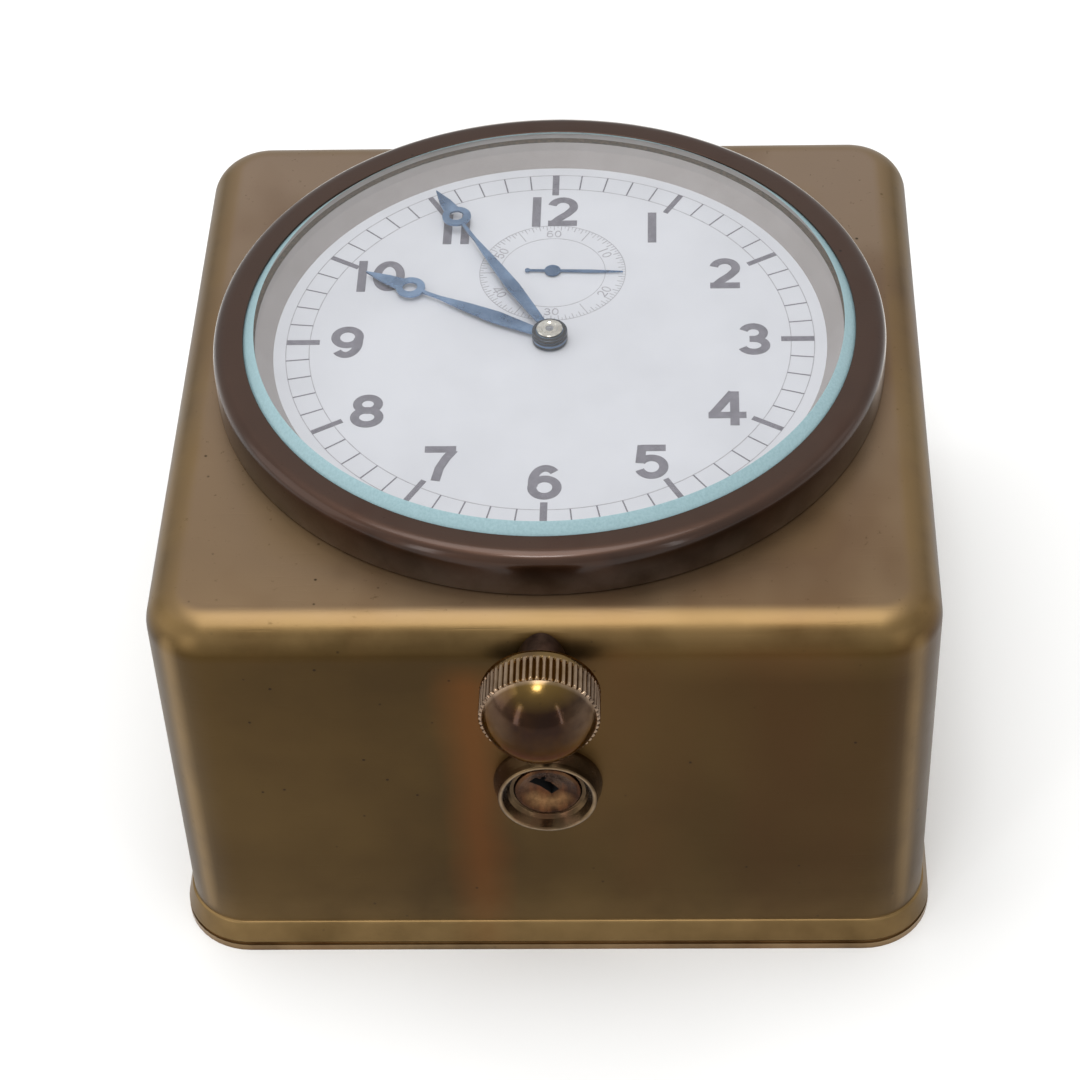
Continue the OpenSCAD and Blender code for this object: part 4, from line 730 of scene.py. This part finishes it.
# Sizes are (height, width, stroke) of a figure, and lines are (radius, width of line)
dialSpec = {
    "face": 56.4, "print": 0.02, "tickRise": 0.002, "hourRise": 0.004, "figureRise": 0.022,
    "layerRise": 0.003, "outerRing": 31.8, "innerRing": 29.0, "ringWidth": 0.1, "hourIn": 27.8,
    "quarterWidth": 0.85, "hourWidth": 0.7, "minuteWidth": 0.18, "numeralAt": 24.5,
    "hourSize": (5.7, 3.95, 1.08), "tenApart": (-2.3, 1.0), "elevenApart": (-1.1, 1.1),
    "secondsY": 12.7, "secondsLines": ((9.0, 0.08), (6.5, 0.07)), "secondsOut": 9.0,
    "tenthIn": 6.9, "secondIn": 8.15, "halfIn": 8.55, "secondWidth": 0.1, "halfWidth": 0.07,
    "secondsAt": 7.4, "secondsSize": (1.25, 0.82, 0.14), "secondsApart": 0.5,
}


def bar(form, angle, inner, outer, width, rise, centreY=0):
    # Radial bar of print, angle in degrees past twelve
    a = math.radians(angle)
    out = Vector((math.sin(a), math.cos(a), 0))
    side = Vector((math.cos(a), -math.sin(a), 0)) * width / 2
    base = Vector((0, centreY + dialY, dialSpec["face"]))
    corners = [base + out * inner - side, base + out * inner + side, base + out * outer + side,
               base + out * outer - side]
    low = [form.verts.new(c) for c in corners]
    high = [form.verts.new(c + Vector((0, 0, dialSpec["print"] + rise))) for c in corners]
    form.faces.new(high)
    joinLoops(form, low, high)


def flatRing(form, radius, width, centreY=0):
    low, high = dialSpec["face"], dialSpec["face"] + dialSpec["print"]
    inner, outer = radius - width / 2, radius + width / 2
    lathe(form, [(inner, low), (inner, high), (outer, high), (outer, low)],
          Matrix.Translation((0, centreY + dialY, 0)), 240, False)


def buildHourMarks(form):
    d = dialSpec
    for hour in range(12):
        bar(form, hour * 30, d["hourIn"], d["outerRing"],
            d["hourWidth"] if hour % 3 else d["quarterWidth"], d["hourRise"])
    for minute in range(60):
        if minute % 5:
            bar(form, minute * 6, d["innerRing"], d["outerRing"], d["minuteWidth"], d["tickRise"])


def buildFineMarks(form):
    d = dialSpec
    flatRing(form, d["outerRing"], d["ringWidth"])
    flatRing(form, d["innerRing"], d["ringWidth"])
    for radius, width in d["secondsLines"]:
        flatRing(form, radius, width, d["secondsY"])
    for step in range(120):  # half seconds
        inner, width = d["halfIn"], d["halfWidth"]
        if step % 2 == 0:
            inner, width = d["tenthIn"] if step % 20 == 10 else d["secondIn"], d["secondWidth"]
        bar(form, step * 3, inner, d["secondsOut"], width, d["tickRise"], d["secondsY"])


makePiece("dial_hour_marks", "case", inkGrey, buildHourMarks)
makePiece("dial_fine_marks", "case", inkFaint, buildFineMarks)


def arcPoints(cx, cy, rx, ry, start, end, count=24):
    return [(cx + rx * math.cos(math.radians(start + (end - start) * k / count)),
             cy + ry * math.sin(math.radians(start + (end - start) * k / count)))
            for k in range(count + 1)]


# Plain bold figures as centre lines that run from -1 to 1, with whether the line is closed
figureLines = {
    "0": [(arcPoints(0, 0, 1, 1, 0, 360, 40)[:-1], True)],
    "1": [([(0, 1.27), (0, -1.27)], False)],
    "2": [(arcPoints(0, 0.42, 0.95, 0.58, 168, -25) + [(0.4, -0.2), (-0.3, -0.6), (-0.8, -0.98)],
           False), ([(-1.27, -1), (1.27, -1)], False)],
    "3": [(arcPoints(-0.02, 0.5, 0.86, 0.5, 160, -90) + [(-0.35, 0)], False),
          ([(-0.35, 0)] + arcPoints(0, -0.5, 1, 0.5, 90, -160), False)],
    "4": [([(0.55, 1.27), (0.55, -1.27)], False), ([(-1.6, -0.5), (1.5, -0.5)], False),
          ([(0.42, 1.2), (-1.28, -0.48)], False)],
    "5": [([(-0.85, 1), (1.15, 1)], False), ([(-0.75, 1.2), (-0.92, -0.1)], False),
          (arcPoints(0, -0.36, 1, 0.64, 148, -160), False)],
    "6": [(arcPoints(0, -0.38, 1, 0.62, 0, 360, 40)[:-1], True),
          (arcPoints(0.05, 0, 1.02, 1, 46, 200), False)],
    "7": [([(-1.27, 1), (1.27, 1)], False),
          ([(1.08, 0.95), (0.5, 0.35), (0.02, -0.35), (-0.25, -1.27)], False)],
    "8": [(arcPoints(0, 0.51, 0.86, 0.49, 0, 360, 40)[:-1], True),
          (arcPoints(0, -0.47, 1, 0.53, 0, 360, 40)[:-1], True)],
}
figureLines["9"] = [([(-x, -y) for x, y in line], closed) for line, closed in figureLines["6"]]


def printFigure(form, text, x, y, size, turn=0):
    # One figure as ribbons of even width, each a hair above the last
    cap, width, stroke = size
    spin = Matrix.Rotation(math.radians(-turn), 4, "Z")
    place = Matrix.Translation((x, y + dialY, dialSpec["face"])) @ spin
    for layer, (line, closed) in enumerate(figureLines[text]):
        points = [Vector((px * (width - stroke) / 2, py * (cap - stroke) / 2)) for px, py in line]
        count = len(points)
        sides = []
        for k, point in enumerate(points):
            before = points[k - 1] if closed or k else point
            after = points[(k + 1) % count] if closed or k < count - 1 else point
            ahead = (after - before).normalized()
            across = Vector((-ahead.y, ahead.x)) * stroke / 2
            sides.append((point + across, point - across))
        low = [[form.verts.new(place @ Vector((p.x, p.y, 0))) for p in pair] for pair in sides]
        rise = dialSpec["figureRise"] + layer * dialSpec["layerRise"]
        high = [[form.verts.new(place @ Vector((p.x, p.y, rise))) for p in pair] for pair in sides]
        for k in range(count if closed else count - 1):
            n = (k + 1) % count
            form.faces.new((high[k][0], high[n][0], high[n][1], high[k][1]))
            form.faces.new((low[k][0], low[n][0], high[n][0], high[k][0]))
            form.faces.new((low[k][1], high[k][1], high[n][1], low[n][1]))
            form.faces.new((low[k][0], low[k][1], low[n][1], low[n][0]))
        if not closed:
            for k in (0, count - 1):
                form.faces.new((low[k][0], low[k][1], high[k][1], high[k][0]))


def buildHours(form):
    d = dialSpec
    for hour in range(1, 13):
        a = math.radians(hour * 30)
        x, y = d["numeralAt"] * math.sin(a), d["numeralAt"] * math.cos(a)
        apart = (0,) if hour < 10 else d["elevenApart"] if hour == 11 else d["tenApart"]
        for figure, shift in zip(str(hour), apart):
            printFigure(form, figure, x + shift, y, d["hourSize"])


def buildSecondsFigures(form):
    d = dialSpec
    for k, text in enumerate(("60", "10", "20", "30", "40", "50")):
        a = math.radians(k * 60)
        turn = k * 60 if k not in (2, 3, 4) else k * 60 - 180
        for side, figure in zip((-d["secondsApart"], d["secondsApart"]), text):
            x = d["secondsAt"] * math.sin(a) + side * math.cos(math.radians(turn))
            y = d["secondsY"] + d["secondsAt"] * math.cos(a) - side * math.sin(math.radians(turn))
            printFigure(form, figure, x, y, d["secondsSize"], turn)


makePiece("hour_figures", "case", inkGrey, buildHours)
makePiece("seconds_figures", "case", inkFaint, buildSecondsFigures)
print("dial printed")


# Blackened sleeves that dress the collets of two hands: (low, high, softening of the corners)
sleeveSpec = {
    "inner": 1.62, "outer": 2.13, "minute": [(57.66, 58.11, (0, 0.08, 0.1, 0.05))],
    "hour": [(56.57, 56.97, (0, 0.06, 0.06, 0)), (57.24, 57.53, (0, 0.06, 0.06, 0))],
}


def buildSleeves(form, sleeves):
    inner, outer = sleeveSpec["inner"], sleeveSpec["outer"]
    for low, high, (a, b, c, d) in sleeves:
        lathe(form, arcPath([(inner, low, a), (outer, low, b), (outer, high, c),
                             (inner, high, d)], 3), dialCentre, 72)


makePiece("minute_collet_blackened", "centre", steelBlack,
          lambda form: buildSleeves(form, sleeveSpec["minute"]))
makePiece("hour_collet_blackened", "hour", steelBlack,
          lambda form: buildSleeves(form, sleeveSpec["hour"]))


# Winding knob and its collar

knobSpec = {
    "back": -49.2, "rim": 4.8, "dome": 4.2, "domeRadius": 6.33, "domeSteps": 16,
    "backEdge": [(1.0, 0.05, 0), (5.6, 0.0, 0.3), (6.55, 0.55, 0.5), (6.6, 0.75, 0)],
    "band": [(6.66, 0.85), (6.7, 0.95), (6.7, 1.45), (6.7, 1.6), (6.7, 2.4), (6.7, 3.6),
             (6.7, 4.5), (6.66, 4.68), (6.56, 4.77), (6.35, 4.8)],
    "flutes": 56, "flutePoints": 8, "fluteDeep": 0.34, "fluteBack": 1.5, "fluteFront": 4.78,
    "fluteOut": 6.5,
}


def buildKnob(form):
    k = knobSpec
    place = alongFront(0, k["back"], stemHeight)
    profile = arcPath(k["backEdge"], 4) + k["band"]
    sphere = (k["domeRadius"] ** 2 + k["dome"] ** 2) / (2 * k["dome"])
    reach = math.asin(k["domeRadius"] / sphere)
    for i in range(k["domeSteps"] + 1):
        a = reach * (1 - i / k["domeSteps"])
        profile.append((sphere * math.sin(a), k["rim"] + k["dome"] - sphere + sphere * math.cos(a)))
    profile[-1] = (0, profile[-1][1])
    rings = lathe(form, profile, place, k["flutes"] * k["flutePoints"], closed=False)
    back = place.inverted()
    for ring, (r, z) in zip(rings, profile):
        if k["fluteBack"] < z < k["fluteFront"] and r > k["fluteOut"]:
            for i, vert in enumerate(ring):
                phase = (i % k["flutePoints"]) / k["flutePoints"]
                dip = k["fluteDeep"] * (0.5 - 0.5 * math.cos(2 * math.pi * phase)) ** 2
                local = back @ vert.co
                shrink = (r - dip) / r
                vert.co = place @ Vector((local.x * shrink, local.y * shrink, local.z))


# rubbed metal, painted highlights and painted reflections on the knob
knobRubAndSheen = {
    "crest": 0.85, "crestFrom": 6.4, "crestRise": 0.3, "rearFrom": -50.7, "rear": 0.2,
    "side": 0.35, "sideFrom": 0.35, "dome": 0.01, "band": 0.1, "arris": 0.7, "arrisFrom": 6.3,
    "arrisWide": 0.05,
}


def knobWear(point, normal):
    # Thumbs keep the dome and the crests of the flutes bright, and the crests are also a painted
    # highlight; the lighter sides and the bright line on the arris of the rim are painted
    # reflections
    w = knobRubAndSheen
    rim = knobSpec["back"] - knobSpec["rim"]
    out = fromAxis(point, stemHeight)
    if abs(point.y - rim) < w["arrisWide"] and out > w["arrisFrom"]:
        return w["arris"]
    crest = max(0, out - w["crestFrom"]) / w["crestRise"]
    if point.y > w["rearFrom"]:
        crest *= w["rear"]
    side = w["side"] * max(0, abs(normal.x) - w["sideFrom"])
    dome = w["dome"] + side if point.y < rim - w["arrisWide"] else w["band"]
    return min(1, max(w["crest"] * crest if point.y > rim else 0, dome))


makePiece("knob_fluted_dome", "stem_and_knob", knobBrass, buildKnob, 28,
          ["winding_knob"], knobWear)

collarSpec = {"back": -41.6, "bore": 1.05, "radius": 2.75, "long": 7.4, "wearAndSheen": 0.2}


def buildCollar(form):
    c = collarSpec
    path = arcPath([(c["bore"], 0, 0), (c["radius"], 0, 0), (c["radius"], c["long"], 0.25),
                    (c["bore"], c["long"], 0.1)], 5)
    lathe(form, path, alongFront(0, c["back"], stemHeight), 96)


makePiece("collar_soldered_bush", "case", collarBronze, buildCollar, 35,
          ["stem_collar"], lambda point, normal: collarSpec["wearAndSheen"])

# The profile is (radius, distance to the front, softening of the corner)
lockSpec = {
    "profile": [
        (3.96, 46.2, 0.05), (4.4, 46.2, 0.15), (4.75, 46.6, 0.3), (5.2, 47.55, 0.25),
        (5.45, 47.7, 0.12), (5.72, 47.6, 0.15), (5.85, 47.0, 0.4), (6.3, 45.5, 0.3),
        (6.35, 45.0, 0), (5.0, 45.0, 0), (5.0, 36.2, 0.1), (3.96, 36.2, 0.1)],
    "rimFrom": -47.67, "rimWear": 0.85, "wearAndSheen": 0.12,
}


def buildLockBody(form):
    lathe(form, arcPath(lockSpec["profile"], 5), alongFront(0, 0, lockHeight), 144)


def lockWear(point, normal):
    return lockSpec["rimWear"] if point.y < lockSpec["rimFrom"] else lockSpec["wearAndSheen"]


makePiece("lock_body_dished", "case", lockBrass, buildLockBody, 35,
          ["lock_body"], lockWear)

plugSpec = {
    "radius": 3.9, "face": -46.5, "back": -36.2, "stepIn": 0.2, "stepBack": 3, "rim": 0.5,
    "dish": 0.75, "bowl": 2.2, "bowlShare": 0.55, "floor": 0.9,
    "slotTurn": 45, "slotX": -0.4, "slotUp": 0.55, "slotDeep": 4, "slotOver": 1,
    "slot": [(-1.9, -0.55), (1.75, -0.6), (1.75, 0.65), (0.3, 0.75), (-0.5, 0.6),
             (-0.85, 1.35), (-1.4, 1.15), (-1.25, 0.55), (-1.9, 0.5)],
    "rubAndSheen": 0.7, "rubBelow": 0.3, "rubRing": (1.9, 0.9), "rubFront": -45,
}


def buildPlug(form):
    # Dished face, so that the key finds its slot
    p = plugSpec
    long = p["back"] - p["face"]
    slim = p["radius"] - p["stepIn"]
    path = arcPath([(0, 0, 0), (slim, 0, 0), (slim, long - p["stepBack"], 0),
                    (p["radius"], long - p["stepBack"], 0), (p["radius"], long, 0.25),
                    (p["radius"] - p["rim"], long, 0.1),
                    (p["bowl"], long - p["dish"] * p["bowlShare"], 1.0),
                    (p["floor"], long - p["dish"], 0.2), (0, long - p["dish"], 0)], 5)
    lathe(form, path, alongFront(0, p["back"], lockHeight), 96, closed=False)


def plugWear(point, normal):
    # A bright crescent below its slot: key wear and a painted highlight
    p = plugSpec
    low = climb(point.z, lockHeight - p["rubBelow"], -1)
    rubbedAndLit = p["rubAndSheen"] * low * peak(fromAxis(point, lockHeight), *p["rubRing"])
    return rubbedAndLit if point.y < p["rubFront"] else 0


plugPiece = makePiece("lock_plug_dished", "lock_turner", plugCopper, buildPlug, 30,
                      ["lock_plug"], plugWear)


def cutKeyway():
    # Slot with a spur at its upper end, cut as one pocket painted dark as shade
    p = plugSpec
    form = bmesh.new()
    place = alongFront(p["slotX"], p["face"] + p["slotDeep"], lockHeight + p["slotUp"])
    discPrism(form, p["slot"], 0, p["slotDeep"] + p["slotOver"],
              place @ Matrix.Rotation(math.radians(-p["slotTurn"]), 4, "Z"))
    tool = linkForm(form, "keyway_cutter")
    for piece in (tool, plugPiece):
        piece.data.materials.append(keyholeDark)
    subtract(plugPiece, tool, "TRANSFER")


cutKeyway()


# Mounting plate with a softened edge

plateSpec = {
    "half": 46.0, "corner": 8.4, "low": 0.001, "thick": 1.2, "tabHalf": 28.1, "tabEnd": 50.5,
    "tabCorner": 1.7, "notch": 0.4, "cornerSteps": 12, "softened": 0.25, "holeX": 30,
    "holeY": 25, "holeRadius": 2.2, "wearAndSheen": 0.25, "edgeWear": 0.7, "edgeAbove": 0.6,
    "edgeLean": 0.9,
}


def buildPlate(form):
    # Square with round corners and a tab behind for the hinge
    p = plateSpec
    right = [(p["half"], p["half"], p["corner"]), (p["tabHalf"], p["half"], p["notch"]),
             (p["tabHalf"], p["tabEnd"], p["tabCorner"])]
    left = [(-x, y, radius) for x, y, radius in reversed(right)]
    corners = right + left + [(x, -p["half"], p["corner"]) for x in (-p["half"], p["half"])]
    outline = []
    count = len(corners)
    for i, (x, y, radius) in enumerate(corners):
        here = Vector((x, y))
        back = (Vector(corners[i - 1][:2]) - here).normalized()
        ahead = (Vector(corners[(i + 1) % count][:2]) - here).normalized()
        middle = here + (back + ahead) * radius
        start = math.atan2(-ahead.y, -ahead.x)
        end = math.atan2(-back.y, -back.x)
        sweep = (end - start + math.pi) % (2 * math.pi) - math.pi
        for k in range(p["cornerSteps"] + 1):
            a = start + sweep * k / p["cornerSteps"]
            outline.append((middle.x + radius * math.cos(a), middle.y + radius * math.sin(a)))
    holes = [(x * p["holeX"], y * p["holeY"], p["holeRadius"]) for x in (-1, 1) for y in (-1, 1)]
    discPrism(form, outline, p["low"], p["thick"], Matrix.Identity(4), holes)
    rims = [e for e in form.edges if all(abs(v.co.z - p["thick"]) < 0.01 for v in e.verts)
            and e.calc_face_angle(0) > 1]
    bmesh.ops.bevel(form, geom=rims, offset=p["softened"], segments=2, affect="EDGES")


def plateWear(point, normal):
    p = plateSpec
    onEdge = normal.z < p["edgeLean"] and point.z > p["edgeAbove"]
    return p["edgeWear"] if onEdge else p["wearAndSheen"]


makePiece("mounting_plate_pressed", "base", plateBrass, buildPlate, 40,
          ["base_plate"], plateWear)
print("turned and pressed pieces built")


# Materials for the CAD pieces that stay as they are

finishes = {
    plateBrass: "base_hinge_lugs", caseBrass: "case_hinge_leaf", corkBrown: "glass_gasket",
    rehautGrey: "reflector_ring", dialWhite: "dial", nickelPolished: "retaining_ring hand_nut",
    nickelFrosted: "movement_ring main_plate barrel_bridge train_bridge balance_cock",
    brassSpun: "lug_rivets leaf_rivets keeper_rivets bezel_nut lock_nut barrel_drum "
               "barrel_cover",
    brassGilt: "centre_wheel hour_wheel minute_wheel third_wheel fourth_wheel balance_wheel",
    steelBlued: "bridge_screws movement_screws crown_screw mainspring minute_hand hour_hand "
                "seconds_hand hairspring",
    steelBright: "hinge_pin lock_keeper winding_stem winding_pinion crown_wheel ratchet_wheel "
                 "barrel_arbor click centre_pinion cannon_pinion third_pinion fourth_pinion "
                 "escape_wheel escape_pinion pallet_lever lock_cam",
}
for material, nodeNames in finishes.items():
    for nodeName in nodeNames.split():
        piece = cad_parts[nodeName]
        if not piece.data.materials:
            piece.data.materials.append(material)
        for slot in range(len(piece.data.materials)):
            piece.data.materials[slot] = material
print("finishes given")


# Camera, floor and light

cameraSpec = {
    "yaw": -2.109, "pitch": 45.038, "roll": 1.861, "place": (15.3587, -273.4503, 299.0403),
    "focalPixels": 3030.986, "shiftX": -0.0556, "imageSide": 1080, "sensor": 36.0,
    "near": 0.01, "far": 10,
}


def placeCamera():
    c = cameraSpec
    yaw, pitch, roll = (math.radians(c[k]) for k in ("yaw", "pitch", "roll"))
    ahead = Vector((math.sin(yaw) * math.cos(pitch), math.cos(yaw) * math.cos(pitch),
                    -math.sin(pitch)))
    right = Vector((math.cos(yaw), -math.sin(yaw), 0))
    down = ahead.cross(right)
    turnedRight = math.cos(roll) * right + math.sin(roll) * down
    turnedDown = -math.sin(roll) * right + math.cos(roll) * down
    data = bpy.data.cameras.new("camera")
    data.sensor_width = c["sensor"]
    data.lens = c["focalPixels"] / c["imageSide"] * c["sensor"]
    data.shift_x = c["shiftX"]
    data.clip_start, data.clip_end = c["near"], c["far"]
    camera = bpy.data.objects.new("camera", data)
    bpy.context.scene.collection.objects.link(camera)
    camera.matrix_world = Matrix((
        (turnedRight.x, -turnedDown.x, -ahead.x, c["place"][0] * mm),
        (turnedRight.y, -turnedDown.y, -ahead.y, c["place"][1] * mm),
        (turnedRight.z, -turnedDown.z, -ahead.z, c["place"][2] * mm), (0, 0, 0, 1)))
    bpy.context.scene.camera = camera


placeCamera()


def layFloor(side):
    mesh = bpy.data.meshes.new("floor")
    mesh.from_pydata([(-side, -side, 0), (side, -side, 0), (side, side, 0), (-side, side, 0)], [],
                     [(0, 1, 2, 3)])
    floor = bpy.data.objects.new("floor", mesh)
    bpy.context.scene.collection.objects.link(floor)
    mesh.materials.append(newMaterial("paper_white_floor", {
        "Base Color": "#f7f7f6", "Roughness": 0.9})[0])


layFloor(3.0)

# Name, place in metres, size, power, aim
lightSpec = [
    ("softbox_over", (-0.05, 0.04, 1.0), (0.5, 0.7), 3.6, (0, 0, 0.03)),
    ("softbox_front", (-0.05, -0.36, 1.0), (0.2, 0.14), 1.7, (0, 0, 0.03)),
    ("softbox_left", (-0.95, -0.1, 0.5), (0.7, 0.85), 1.8, (0, 0, 0.03)),
    ("softbox_right", (0.95, 0.15, 0.5), (0.3, 0.6), 0.3, (0, 0, 0.03)),
    ("strip_left", (-0.45, -0.6, 0.25), (0.1, 0.48), 0.7, (0, 0, 0.25)),
    ("strip_right", (0.45, -0.6, 0.25), (0.04, 0.48), 0.35, (0, 0, 0.25)),
]
tentLight = 0.75  # the white that comes from all round


def hangLights():
    for name, place, size, power, aim in lightSpec:
        data = bpy.data.lights.new(name, "AREA")
        data.shape = "RECTANGLE"
        data.size, data.size_y = size
        data.energy = power
        lamp = bpy.data.objects.new(name, data)
        bpy.context.scene.collection.objects.link(lamp)
        lamp.location = place
        lamp.rotation_euler = (Vector(aim) - Vector(place)).to_track_quat("-Z", "Y").to_euler()
    world = bpy.data.worlds.new("studio")
    bpy.context.scene.world = world
    world.use_nodes = True
    background = world.node_tree.nodes["Background"]
    fillSockets(world.node_tree, background, {"Color": "#ffffff", "Strength": tentLight})
    bpy.context.scene.view_settings.view_transform = "Standard"


hangLights()
print("lit")
